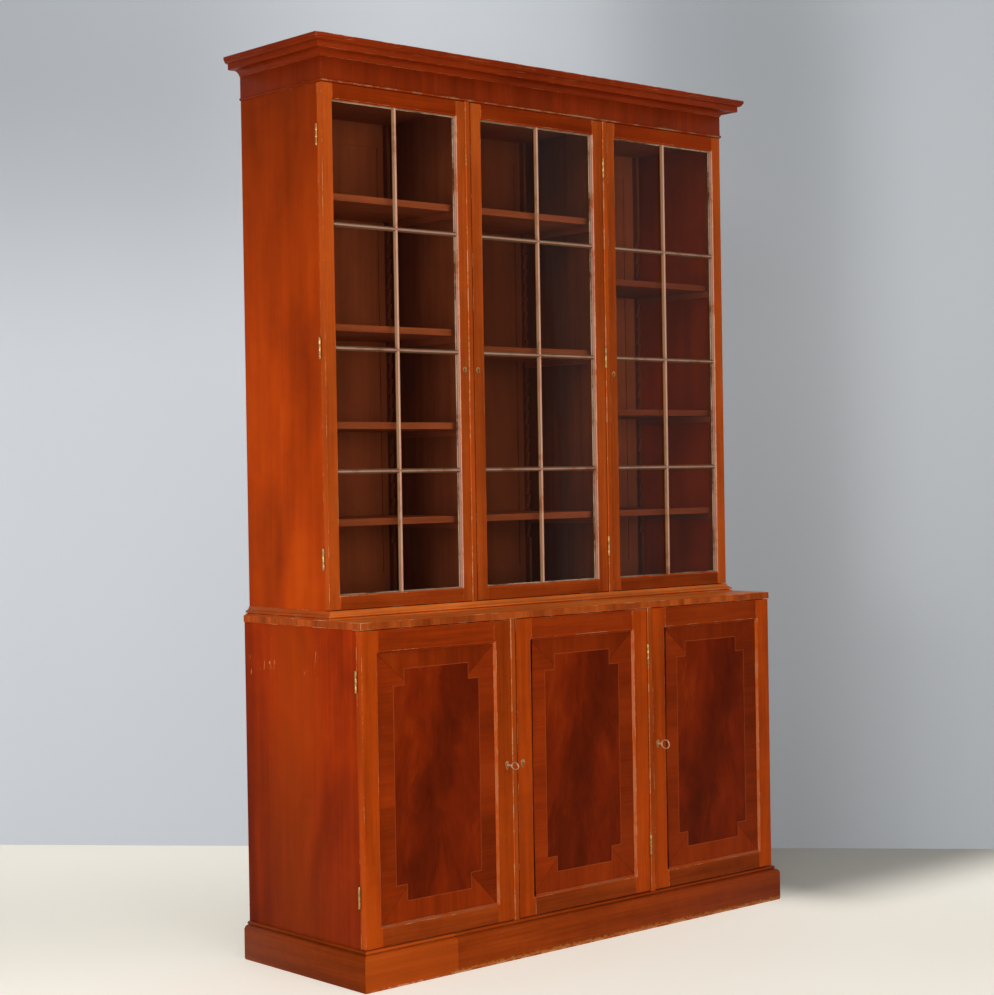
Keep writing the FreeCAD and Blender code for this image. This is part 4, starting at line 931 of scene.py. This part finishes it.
def wear(piece, look, low, high):
    """Give the faces of a moulding's front between two heights a worn finish, which on the frieze bead
    is also a painted highlight.
    """
    piece.data.materials.append(finish(look))
    for face in piece.data.polygons:
        if low < face.center.z / MM < high and face.normal.y < -0.1:
            face.material_index = len(piece.data.materials) - 1


def gains(s, sign, depths):
    """Cutters for the hinge leaves' recesses in a side or in an outer door."""
    return [block("gain", (sign * (s.half - LEAF_WIDE), sign * (s.half + 1)), depths,
                  around(height, -HINGE_LONG / 2, HINGE_LONG / 2)) for height in s.hinges]


def hollows(s):
    """Cutters for the room that the knuckles of a middle door turn in."""
    cutters = []
    for height in s.hinges:
        hollow = barrel("hollow", KNUCKLE_ROOM, HINGE_LONG + 2 * PIN_PAST)
        hollow.location = at(MIDDLE_PIN, s.back + s.thick + PIN_AHEAD,
                             height - HINGE_LONG / 2 - PIN_PAST)
        cutters.append(settle(hollow))
    return cutters


# Operators: one for each group of like pieces


class Step:
    """What every operator shares."""
    bl_options = {"REGISTER", "UNDO"}


class BOOKCASE_OT_sides(Step, bpy.types.Operator):
    """Make the four sides of the two cases, with recesses for the hinge leaves"""
    bl_idname = "bookcase.sides"
    bl_label = "Case sides"

    def execute(self, context):
        for number, (stage, sign, word) in enumerate(FLANKS, 1):
            s = STAGES[stage]
            piece = block(f"{stage}_{word}_side_board", (sign * (s.half - BOARD), sign * s.half),
                          (0, s.side), (s.board_foot, s.board_head))
            carve(piece, *gains(s, sign, (s.side - 0.95, s.side + 1)))
            coat(piece, "side_z" if stage == "upper" else "lower_side_z", "worn_edge")
            mark(soften(piece, 0.0007, slot=1), number)
            hand_over(piece, "case", "mahogany_carcase", f"{stage}_side_{word}")
        return {"FINISHED"}


class BOOKCASE_OT_facings(Step, bpy.types.Operator):
    """Make the partitions with the rounded strips on their front edges"""
    bl_idname = "bookcase.facings"
    bl_label = "Partitions and facings"

    def execute(self, context):
        for stage, sign, word in FLANKS:
            s = STAGES[stage]
            x0, x1 = around(sign * PARTITION, -BOARD / 2, BOARD / 2)
            start, nose = s.facing - FACING_ROUND, (FACING_ROUND, -1)
            section = rounded([(x0, s.side), (x0, start), (x0 + FACING_ROUND, s.facing),
                               (x1 - FACING_ROUND, s.facing), (x1, start), (x1, s.side)],
                              {1: nose, 3: nose}, 5)
            strip = drawn("strip", [at(x, d, s.floor) for x, d in section],
                          run(z=s.strip_head - s.floor))
            if sign > 0:
                carve(strip, *hollows(s))
            carve(strip, *(block("mortise", across, around(s.back, *BOLT_DEPTHS),
                                 around(s.lock_z, *BOLT_SPAN)) for across in MORTISES[sign]))
            # The rounded sides of the facing strip are bare wood in places and carry a painted
            # highlight.
            coat(strip, "facing_z", "bare_edge")
            for face in strip.data.polygons:
                if 0.25 < abs(face.normal.x) < 0.97 and face.normal.y < 0:
                    face.material_index = 1
            mark(strip, 21 + sign)
            panel = board("panel", (x0, x1), (BACK_THICK, s.side), (s.floor, s.roof),
                          23 + sign, "partition_z")
            piece = smooth(join(f"{stage}_{word}_partition_board", [strip, panel]), 25)
            hand_over(piece, "case", "mahogany_facing", f"{stage}_partition_{word}")
        return {"FINISHED"}


class BOOKCASE_OT_inside(Step, bpy.types.Operator):
    """Finish the boards, backs, shelves and racks inside the two cases"""
    bl_idname = "bookcase.inside"
    bl_label = "Inside of the cases"

    def execute(self, context):
        looks = {
            "upper_back": "upper_back_z", "lower_back": "inside_z", "shelf_racks": "rack_z",
            "upper_shelves": "shelf_x", "lower_shelves": "shelf_x", "upper_bottom_board": "shelf_x",
            "shelf_cleats": "inside_y", "lower_shelf_bearers": "inside_y",
            "upper_top_board": "inside_x", "lower_bottom_board": "inside_x"}
        for node, look in looks.items():
            coat(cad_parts[node], look)
        return {"FINISHED"}


class BOOKCASE_OT_mouldings(Step, bpy.types.Operator):
    """Make the cornice, the frieze, the waist moulding and the plinth"""
    bl_idname = "bookcase.mouldings"
    bl_label = "Mouldings and plinth"

    def execute(self, context):
        face, base, foot = UPPER.back + UPPER.thick, LOWER.back + LOWER.thick, FRIEZE_HEAD
        cornice = rounded(
            [(-20, foot), (2, foot), (26, foot + 13.5), (39.5, foot + 13.5), (39.5, foot + 29),
             (42, foot + 29), (51, foot + 38), (CORNICE_OUT, foot + 38), (CORNICE_OUT, TOP - 2),
             (51, TOP), (-20, TOP)], {1: (20, 1), 5: (9.2, -1), 8: (2, -1)})
        piece = mitred("cornice_moulding", UPPER.half, face, CORNICE_OUT, cornice, 31,
                       ("cornice_x", "cornice_side_y", "cornice_side_y"))
        wear(piece, "crown_edge", TOP - 2.6, TOP - 0.01)
        hand_over(piece, "case", "mahogany_carcase", "cornice")

        frieze = rounded(
            [(-FRIEZE_THICK, FRIEZE_FOOT), (1, FRIEZE_FOOT), (1, FRIEZE_FOOT + 8),
             (1, FRIEZE_HEAD), (-FRIEZE_THICK, FRIEZE_HEAD)], {1: (4.05, -1)})
        piece = mitred("frieze_board", UPPER.half, face, 6, frieze, 35, ("frieze_z",) * 3)
        # The bead's front: a painted highlight, patchy like worn polish.
        wear(piece, "bead_edge", *around(FRIEZE_FOOT, 1.5, 5.5))
        rail = board("rail", (FRIEZE_THICK - UPPER.half, UPPER.half - FRIEZE_THICK),
                     (0, BOARD), (FRIEZE_FOOT, FRIEZE_HEAD), 39, "inside_x")
        hand_over(join("frieze_board", [piece, rail]), "case", "mahogany_carcase", "frieze")

        foot = WORKTOP_HEAD
        waist = rounded(
            [(0, foot), (WAIST_OUT, foot), (WAIST_OUT, foot + 3), (7, foot + 3.6),
             (7, foot + 5.2), (WAIST_OUT, foot + 6.2), (12.6, foot + 10.5),
             (1.5, UPPER.floor), (0, UPPER.floor)], {6: (14, 1)})
        # Front: the lighter waist finish, a painted highlight; sides: the darker worktop colour, painted
        # shade.
        piece = mitred("waist_bead", UPPER.half, face, WAIST_OUT, waist, 41,
                       ("waist_x", "waist_side_y", "waist_side_y"), "worn_edge")
        hand_over(piece, "case", "mahogany_carcase", "waist_moulding")

        plinth = rounded([(-6, 0), (16, 0), (PLINTH_OUT, 5.5), (PLINTH_OUT, 79), (6.5, 92),
                          (4.5, 92), (3.5, LOWER.floor), (-6, LOWER.floor)], {3: (13, -1), 5: (4.7, -1)})
        piece = mitred("plinth_board", LOWER.half, base, PLINTH_OUT, plinth, 45,
                       ("plinth_x", "plinth_side_y", "plinth_side_y"), "worn_edge", 0.8)
        wear(piece, "foot_edge", 0.05, 5.4)
        rail = board("rail", (BOARD - LOWER.half, LOWER.half - BOARD),
                     around(BACK_THICK, 0, BOARD), (0, PLINTH_RAIL_HIGH), 49, "inside_x")
        hand_over(join("plinth_board", [piece, rail]), "case", "mahogany_carcase", "plinth")
        return {"FINISHED"}


class BOOKCASE_OT_worktop(Step, bpy.types.Operator):
    """Make the board between the stages, with its crossbanded edge"""
    bl_idname = "bookcase.worktop"
    bl_label = "Board between the stages"

    def execute(self, context):
        piece = block("worktop_board", (-WORKTOP_HALF, WORKTOP_HALF), (0, WORKTOP_DEEP),
                      (LOWER.roof, WORKTOP_HEAD))
        coat(piece, "waist_x", "worn_edge", "worktop_z")
        # The top takes the lighter waist finish, a painted highlight; the edges take the worktop finish.
        for face in piece.data.polygons:
            if abs(face.normal.z) < 0.5:
                face.material_index = 2
        mark(soften(piece, 0.0012, slot=1), 51)
        hand_over(piece, "case", "mahogany_carcase", "lower_top_board")
        return {"FINISHED"}


class BOOKCASE_OT_door_frames(Step, bpy.types.Operator):
    """Make the stiles and rails of the six doors, bevelled, rebated and cut for their locks"""
    bl_idname = "bookcase.door_frames"
    bl_label = "Door frames"

    def execute(self, context):
        for order, door in enumerate(DOORS):
            ring = self.ring(door)
            parts = [self.part(door, ring, part) for part in FRAME_PARTS]
            for index, part in enumerate(parts):
                mark(part, 60 + 5 * order + index, FRAME_TONE_AND_SHADE[door.node][index])
            bpy.data.objects.remove(ring)
            hand_over(join(door.piece + "_frame", parts), door.node, "mahogany_frame",
                      door.node + "_frame")
        return {"FINISHED"}

    def ring(self, door):
        """A door's whole frame in one, bevelled, rebated and cut for its lock and hinges."""
        s0, s1, h0, h1 = door.opening
        back, front, wide = door.back, door.front, door.rebate_wide
        deep = back + LOCK_DEEP
        ring = block("ring", (door.x0, door.x1), (back, front), (door.foot, door.head))
        carve(ring, block("opening", (s0, s1), (back - 5, front + 5), (h0, h1)))
        edit(ring)
        bpy.ops.mesh.select_all(action="DESELECT")
        done()
        for edge in ring.data.edges:
            ends = [ring.data.vertices[index].co for index in edge.vertices]
            edge.select = all(
                abs(end.y - (BACK - front) * MM) < 1e-5 and s0 - 0.1 < end.x / MM < s1 + 0.1
                and h0 - 0.1 < end.z / MM < h1 + 0.1 for end in ends)
        bpy.ops.object.mode_set(mode="EDIT")
        bpy.ops.mesh.select_mode(type="EDGE")
        bpy.ops.mesh.bevel(offset=door.bevel * MM, segments=1, affect="EDGES")
        done()
        carve(ring, block("rebate", (s0 - wide, s1 + wide), (back - 5, back + door.rebate_deep),
                          (h0 - wide, h1 + wide)),
              block("lock_bed", inward(door, -1, door.case_wide), (back - 1, deep),
                    around(door.lock_z, *CASE_SPAN)),
              block("selvedge_bed", inward(door, -1, SELVEDGE), (back - 1, deep),
                    around(door.lock_z, *SELVEDGE_SPAN)),
              block("slot", around(door.spot, -1.6, 1.6), (deep - 1, front + 1),
                    (door.lock_z - SLOT_LONG, door.lock_z)),
              rod("eye", 2.8, deep - 1, deep - 1 + door.thick, door.spot, door.lock_z, 20))
        return carve(ring, *(hollows(door) if door.word == "middle" else
                             gains(door, door.sign, (back - 1, door.side + 1.55))))

    def part(self, door, ring, part):
        """One stile or rail, cut from a copy of the ring."""
        s0, s1, h0, h1 = door.opening
        far, hair = 20, 0.01
        piece = twin(ring, part)
        if part.endswith("stile"):
            across = (s0, door.x1 + far) if part == "left_stile" else (door.x0 - far, s1)
            carve(piece, block("beyond", across, (door.back - far, door.front + far),
                               (door.foot - far, door.head + far)))
        else:
            way = 1 if part == "foot_rail" else -1
            slice_off(piece, at(s0 + hair, 0, 0), Vector((-1, 0, 0)))
            slice_off(piece, at(s1 - hair, 0, 0), Vector((1, 0, 0)))
            slice_off(piece, at(0, 0, (h0 + h1) / 2), Vector((0, 0, way)))
        stile = "stile_z" if door.stage == "upper" else "lower_stile_z"
        # The foot rail's bevels take a darker copy of the bevel finish: painted shade.
        coat(piece, {"foot_rail": "foot_rail_x", "head_rail": "rail_x"}.get(part, stile),
             "worn_edge", "foot_bevel" if part == "foot_rail" else "bevel", "reveal")
        room = door.bevel + 0.1
        for face in piece.data.polygons:
            x, z, depth = face.center.x / MM, face.center.z / MM, BACK - face.center.y / MM
            if not (s0 - room < x < s1 + room and h0 - room < z < h1 + room
                    and depth > door.back + door.rebate_deep):
                continue
            # The bevels take the pale bevel finish, partly painted highlight, save on the head rail,
            # whose bevels face down and keep the darker rail wood as painted shade. On the upper doors
            # the reveals, and the bevels that face left towards the light, take the reveal finish: a
            # painted highlight.
            bevelled = 0.3 < abs(face.normal.y) < 0.95
            if bevelled and part != "head_rail":
                face.material_index = 2
            if door.stage == "upper" and (abs(face.normal.y) < 0.1
                                          or bevelled and face.normal.x < -0.3):
                face.material_index = 3
        return soften(piece, 0.0006, slot=1)


class BOOKCASE_OT_bars(Step, bpy.types.Operator):
    """Make the glazing bars: one upright and three level ones across it, in each door"""
    bl_idname = "bookcase.bars"
    bl_label = "Glazing bars"

    def execute(self, context):
        shoulder = UPPER.back + UPPER.rebate_deep
        right = [(2, UPPER.back + 1), (2, shoulder), (6, shoulder)] + rounded(
            [(6, shoulder + 2.5), (2.5, shoulder + 8), (1.6, shoulder + 8.8)], {0: (11, 1)}, 6)
        section = right + [(-u, d) for u, d in reversed(right)]
        for door in UPPER_DOORS:
            s0, s1, h0, h1 = door.opening
            upright = drawn("upright", [at((s0 + s1) / 2 + u, d, h0) for u, d in section],
                            run(z=h1 - h0))
            bars = [self.finish_bar(upright, "bar", shoulder + 6.6, 91)]
            for index in range(3):
                height = FIRST_BAR + index * BAR_STEP
                level = drawn("level", [at(s0, d, height + u) for u, d in section],
                              run(x=s1 - s0))
                # The level bars take darker copies of the bars' finishes: painted shade, as their faces
                # turn away from the light.
                bars.append(self.finish_bar(level, "level", shoulder + 7.9, 92 + index))
            hand_over(smooth(join(door.piece + "_bars", bars)), door.node, "mahogany_bar",
                      door.node + "_glazing_bars")
        return {"FINISHED"}

    def finish_bar(self, bar, kind, nose, number):
        """Give a bar its side finish, and its nose finish forward of a depth."""
        coat(bar, kind + "_side", kind + "_nose")
        for face in bar.data.polygons:
            if face.center.y < (BACK - nose) * MM and abs(face.normal.y) > 0.1:
                face.material_index = 1
        return mark(bar, number)


class BOOKCASE_OT_glass(Step, bpy.types.Operator):
    """Finish the panes of the upper doors, and bed them in putty"""
    bl_idname = "bookcase.glass"
    bl_label = "Glass and putty"

    def execute(self, context):
        pane = UPPER.back + PANE_BACK
        for door in UPPER_DOORS:
            coat(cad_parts[door.node + "_glass"], "glass")
            s0, s1, h0, h1 = door.opening
            fillets = []
            for edge, way, (lip, slope) in ((s0, 1, SIDE_PUTTY), (s1, -1, SIDE_PUTTY),
                                            (h0, 1, END_PUTTY), (h1, -1, END_PUTTY)):
                under = edge - way * PUTTY_UNDER
                section = [(under, pane), (edge + way * lip, pane),
                           (edge + way * slope, pane - PUTTY_DEEP),
                           (under, UPPER.back + PUTTY_FOOT)]
                if edge in (s0, s1):
                    fillet = drawn("fillet", [at(x, d, h0 - PUTTY_UNDER) for x, d in section],
                                   run(z=h1 - h0 + 2 * PUTTY_UNDER))
                else:
                    fillet = drawn("fillet", [at(s0 + SIDE_PUTTY[1], d, z) for z, d in section],
                                   run(x=s1 - s0 - 2 * SIDE_PUTTY[1]))
                fillets.append(mark(soften(coat(fillet, "putty"), 0.0003, 1, 40), len(fillets)))
            hand_over(join(door.piece + "_putty", fillets), door.node, "mahogany_bar")
        return {"FINISHED"}


class BOOKCASE_OT_panels(Step, bpy.types.Operator):
    """Make the veneered panels: flame field, pale stringing and crossbanded border"""
    bl_idname = "bookcase.panels"
    bl_label = "Veneered panels"

    def execute(self, context):
        sizes = context.scene.bookcase_sizes
        side, head, foot, notch_w, notch_h, line = (
            getattr(sizes, name) / MM for name in ("border_side", "border_head", "border_foot",
                                                   "notch_wide", "notch_high", "stringing"))
        for index, door in enumerate(LOWER_DOORS):
            s0, s1, h0, h1 = door.opening
            front = door.back + door.rebate_deep
            reach = door.rebate_wide - 0.5
            piece = block(door.piece + "_panel", (s0 - reach, s1 + reach), (front - 9, front),
                          (h0 - reach, h1 + reach))
            left, right, low, top = s0 + side, s1 - side, h0 + foot, h1 - head
            cuts = [(at(x, 0, 0), Vector((1, 0, 0))) for edge, way in ((left, 1), (right, -1))
                    for x in (edge, edge + way * line, edge + way * notch_w,
                              edge + way * (notch_w + line))]
            cuts += [(at(0, 0, z), Vector((0, 0, 1))) for edge, way in ((low, 1), (top, -1))
                     for z in (edge, edge + way * line, edge + way * notch_h,
                               edge + way * (notch_h + line))]
            mitres = []
            for x, z, way, rise in ((s0, h0, side, foot), (s1, h0, -side, foot),
                                    (s0, h1, side, -head), (s1, h1, -side, -head)):
                square = Vector((-rise, 0, way)).normalized()
                mitres.append((at(x, front, z), square))
                cuts += [(at(x, 0, z) + square * sizes.mitre_line * shift, square)
                         for shift in (-0.5, 0.5)]
            edit(piece)
            for point, normal in cuts:
                bpy.ops.mesh.select_all(action="SELECT")
                bpy.ops.mesh.bisect(plane_co=point, plane_no=normal, threshold=1e-6)
            done()
            coat(piece, f"flame_{door.word}", "line_z", "border_z", "border_x", "joint",
                 "panel_back_z")

            def in_field(x, z, inset):
                x_in, z_in = min(x - left, right - x) - inset, min(z - low, top - z) - inset
                return min(x_in, z_in) > 0 and not (x_in < notch_w and z_in < notch_h)

            face_tone_and_shade = [0.0] * len(piece.data.polygons)
            for face in piece.data.polygons:
                x, z = face.center.x / MM, face.center.z / MM
                if face.normal.y > -0.5:
                    face.material_index = 5
                elif in_field(x, z, line):
                    face.material_index = 0
                elif in_field(x, z, 0):
                    face.material_index = 1
                else:
                    gaps = {"left": (x - s0) / side, "right": (s1 - x) / side,
                            "low": (z - h0) / foot, "top": (h1 - z) / head}
                    strip = min(gaps, key=gaps.get)
                    face.material_index = 3 if strip in ("left", "right") else 2
                    # The strip's own darkness and its painted shade.
                    face_tone_and_shade[face.index] = BORDER_TONE_AND_SHADE[door.word][strip]
                    if any(abs((face.center - corner).dot(square)) < sizes.mitre_line / 2
                           and (face.center - corner).length < (side + foot) * MM
                           for corner, square in mitres):
                        face.material_index = 4
            hand_over(mark(piece, 96 + index, face_tone_and_shade), door.node, "mahogany_panel",
                      door.node + "_panel")
        return {"FINISHED"}


class BOOKCASE_OT_hinges(Step, bpy.types.Operator):
    """Make the butt hinges: leaves with round knuckles, and their pins"""
    bl_idname = "bookcase.hinges"
    bl_label = "Hinges"

    def leaf(self, name, knuckles):
        """A leaf at the origin: plate along x behind the pin, knuckles on the pin."""
        step, plate = HINGE_LONG / 3, tuple(BACK - face for face in LEAF_FACES)
        low = -HINGE_LONG / 2
        parts = [block("plate", around(PIN_OUT, 0, LEAF_WIDE), plate, (low, -low))]
        for index in knuckles:
            foot, high = low + index * step + KNUCKLE_GAP, step - 2 * KNUCKLE_GAP
            parts += [soften(barrel("knuckle", KNUCKLE, high, 24, foot), 0.00035, 2, 40),
                      block("tab", (0.5, 4.5), plate, (foot, foot + high))]
        for x, z in SCREW_PLACES:
            parts.append(rod("screw", SCREW, BACK - 1.3, BACK - 1.05, x, z, 16))
        return smooth(coat(join(name, parts), "brass"))

    def execute(self, context):
        flat = Matrix.Rotation(math.pi, 4, "X")
        over = Matrix.Rotation(math.pi, 4, "Y")
        quarter = Matrix.Rotation(math.pi / 2, 4, "Z")
        turns = {"left": (Matrix(), flat), "right": (over, over @ flat),
                 "middle": (quarter @ flat, quarter)}
        fixed_leaf, moving_leaf = self.leaf("fixed_leaf", (0, 2)), self.leaf("moving_leaf", (1,))
        pin = barrel("pin", PIN, HINGE_LONG + 2 * PIN_PAST, 20, -HINGE_LONG / 2 - PIN_PAST)
        smooth(coat(soften(pin, 0.0005, 3, 40), "steel"))
        fixed, pins = [], []
        for door in DOORS:
            moving = []
            for height in door.hinges:
                spot = (at(MIDDLE_PIN, door.front + PIN_AHEAD, height) if door.word == "middle"
                        else at(door.sign * (door.half + PIN_OUT), door.side + 0.3, height))
                for source, turn, group in ((fixed_leaf, turns[door.word][0], fixed),
                                            (moving_leaf, turns[door.word][1], moving),
                                            (pin, Matrix(), pins)):
                    piece = twin(source, "hinge_copy")
                    piece.matrix_world = Matrix.Translation(spot) @ turn
                    group.append(settle(piece))
            hand_over(join(door.piece + "_leaves", moving), door.node, "brass",
                      door.node + "_hinge_leaves")
        for source in (fixed_leaf, moving_leaf, pin):
            bpy.data.objects.remove(source)
        hand_over(join("case_leaves", fixed), "case", "brass", "carcase_hinge_leaves")
        hand_over(join("pins", pins), "case", "steel_pin", "hinge_pins")
        return {"FINISHED"}


class BOOKCASE_OT_locks(Step, bpy.types.Operator):
    """Make the cut locks with their escutcheons, and finish the bolts"""
    bl_idname = "bookcase.locks"
    bl_label = "Locks and bolts"

    def execute(self, context):
        for door in DOORS:
            back, front, spot, eye_z = door.back, door.front, door.spot, door.lock_z
            wide, high = door.shield
            half = [(0.31 * wide, eye_z - 0.3 * high), (0.5 * wide, eye_z + 0.2 * high),
                    (0.22 * wide, eye_z + 0.42 * high)]
            outline = [(0, eye_z - 0.58 * high)] + half + [(-x, z) for x, z in reversed(half)]
            plate = drawn("plate", [at(spot + x, front, z) for x, z in outline], run(depth=1.2))
            carve(plate, rod("eye", 2.5, front - 3, front + 3, spot, eye_z),
                  block("slot", around(spot, -1.2, 1.2), (front - 3, front + 3),
                        (eye_z - SLOT_LONG, eye_z)))
            parts = [soften(coat(plate, "dark_brass"), 0.0003, 2, 40)]
            for across, heights, way in (
                    ((SELVEDGE, door.case_wide), CASE_SPAN, (0, door.case_wide - 3)),
                    ((0, SELVEDGE), SELVEDGE_SPAN, (-1, 3))):
                part = board("box", inward(door, *across), (back, back + LOCK_DEEP),
                             around(eye_z, *heights), 0, "dark_brass", 0.0003, "dark_brass")
                parts.append(carve(part, block("way", inward(door, *way),
                                               around(back, *BOLT_DEPTHS),
                                               around(eye_z, *BOLT_SPAN))))
            piece = coat(join(door.piece + "_lock_case", parts), "dark_brass")
            hand_over(piece, door.node, "brass", door.node + "_lock")
            coat(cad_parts[door.node + "_bolt"], "brass")
        return {"FINISHED"}


class BOOKCASE_OT_keys(Step, bpy.types.Operator):
    """Make the two keys with their oval bows"""
    bl_idname = "bookcase.keys"
    bl_label = "Keys"

    def execute(self, context):
        for door, (bow_long, bow_high) in zip((LOWER_DOORS[0], LOWER_DOORS[2]), KEY_BOWS):
            spot, eye_z, root = door.spot, door.lock_z, KEY_FRONT - bow_long
            front, unit = door.front, MM / (2 * (1 + BOW_BAR))
            deselect()
            bpy.ops.mesh.primitive_torus_add(
                major_radius=1, minor_radius=BOW_BAR, major_segments=48, minor_segments=12,
                location=at(spot, KEY_FRONT - bow_long / 2, eye_z),
                rotation=(0, math.radians(90), 0))
            bow = named("bow")
            bow.scale = (bow_high * unit, bow_long * unit, BOW_DEEP * MM)
            edit(settle(bow))
            parts = [outward(bow)]
            for radius, near, far in ((2.2, door.back + 3.3, root + 2.5),
                                      (3.5, front + 1.8, front + 4),
                                      (3.0, front + 6.4, front + 7.8),
                                      (2.9, root - 2.6, root - 0.6)):
                parts.append(soften(rod("rod", radius, near, far, spot, eye_z), 0.0004, 2, 40))
            bit = block("bit", around(spot, -0.9, 0.9), around(door.back, 2.6, 6.8),
                        (eye_z - 8.5, eye_z))
            parts.append(soften(bit, 0.0002, 2, 40))
            piece = smooth(coat(join(f"{door.word}_key_metal", parts), "key_metal"), 40)
            hand_over(piece, f"key_{door.word}", "key_steel", f"key_{door.word}")
        return {"FINISHED"}


def turned(place, *axes):
    """The matrix of a thing at a place, turned to three axes."""
    return Matrix.Translation(place) @ Matrix(axes).transposed().to_4x4()


class BOOKCASE_OT_stage(Step, bpy.types.Operator):
    """Make the floor, the backdrop, the lamps and the camera"""
    bl_idname = "bookcase.stage"
    bl_label = "Stage"

    def execute(self, context):
        scene = context.scene
        scene.view_settings.view_transform = "Standard"
        along, up = WALL_ALONG, Vector((0, 0, 1))
        away = Vector((-along.y, along.x, 0))
        middle = (WALL_FOOT[0] + WALL_FOOT[1]) / 2
        for name, where, size in (
                ("backdrop", turned(middle + up * 3.5, along, up, -away), (16, 7)),
                ("floor", turned(middle - away * 6, along, away, up), (16, 12))):
            deselect()
            bpy.ops.mesh.primitive_plane_add(size=1)
            sheet = named(name)
            sheet.matrix_world = where @ Matrix.Diagonal((*size, 1, 1))
            coat(settle(sheet), name)

        scene.world = scene.world or bpy.data.worlds.new("studio")
        scene.world.use_nodes = True
        sky = scene.world.node_tree.nodes["Background"]
        sky.inputs["Color"].default_value = (0.9, 0.95, 1.0, 1)
        sky.inputs["Strength"].default_value = 0.3
        self.lamp("side_lamp", (-2.95, -0.55, 1.35), (-0.76, 0.1, 1.4), (1.1, 1.1), 32, 0.97, 0.93)
        self.lamp("front_lamp", (-0.6, -5.2, 1.6), (0, 0, 1.2), (2.6, 2.2), 90, 0.98, 0.95)
        self.lamp("high_lamp", (-2.4, -2.6, 4.4), (-1.4, -0.6, 0), (3.0, 2.5), 55, 0.98, 0.96)

        azimuth, elevation, roll = map(math.radians, CAMERA_TURN)
        behind = Vector((math.sin(azimuth) * math.cos(elevation),
                         -math.cos(azimuth) * math.cos(elevation), math.sin(elevation)))
        level = Vector((math.cos(azimuth), math.sin(azimuth), 0))
        square = behind.cross(level)
        deselect()
        bpy.ops.object.camera_add()
        camera = bpy.context.object
        camera.name = "camera"
        camera.matrix_world = turned(CAMERA_PLACE,
                                     level * math.cos(roll) + square * math.sin(roll),
                                     square * math.cos(roll) - level * math.sin(roll), behind)
        camera.data.sensor_fit = "HORIZONTAL"
        camera.data.sensor_width = SENSOR
        camera.data.lens = FOCAL_PIXELS / PICTURE_WIDE * SENSOR
        camera.data.clip_end = 60
        scene.camera = camera
        return {"FINISHED"}

    def lamp(self, name, place, target, size, power, green, blue):
        """A soft square lamp that looks at a point."""
        deselect()
        bpy.ops.object.light_add(type="AREA", location=place)
        light = bpy.context.object
        light.name = name
        light.data.name = name
        light.data.shape = "RECTANGLE"
        light.data.size, light.data.size_y = size
        light.data.energy = power
        light.data.color = (1.0, green, blue)
        light.rotation_euler = (Vector(target) - Vector(place)).to_track_quat("-Z", "Y").to_euler()


STEPS = (BOOKCASE_OT_stage, BOOKCASE_OT_sides, BOOKCASE_OT_facings, BOOKCASE_OT_inside,
         BOOKCASE_OT_mouldings, BOOKCASE_OT_worktop, BOOKCASE_OT_door_frames, BOOKCASE_OT_bars,
         BOOKCASE_OT_glass, BOOKCASE_OT_panels, BOOKCASE_OT_hinges, BOOKCASE_OT_locks,
         BOOKCASE_OT_keys)


class BOOKCASE_PT_steps(bpy.types.Panel):
    """Lists the steps and the settings"""
    bl_idname = "BOOKCASE_PT_steps"
    bl_label = "Bookcase"
    bl_space_type = "VIEW_3D"
    bl_region_type = "UI"
    bl_category = "Bookcase"

    def draw(self, context):
        for step in STEPS:
            self.layout.operator(step.bl_idname)
        for group in (context.scene.bookcase_sizes, context.scene.bookcase_colours):
            for name in type(group).__annotations__:
                self.layout.prop(group, name)


CLASSES = (BookcaseSizes, BookcaseColours, *STEPS, BOOKCASE_PT_steps)


def register():
    for item in CLASSES:
        bpy.utils.register_class(item)
    bpy.types.Scene.bookcase_sizes = bpy.props.PointerProperty(type=BookcaseSizes)
    bpy.types.Scene.bookcase_colours = bpy.props.PointerProperty(type=BookcaseColours)


def unregister():
    del bpy.types.Scene.bookcase_colours
    del bpy.types.Scene.bookcase_sizes
    for item in reversed(CLASSES):
        bpy.utils.unregister_class(item)


def main():
    register()
    for step in STEPS:
        group, name = step.bl_idname.split(".")
        getattr(getattr(bpy.ops, group), name)()
    deselect()


if __name__ == "__main__":
    main()
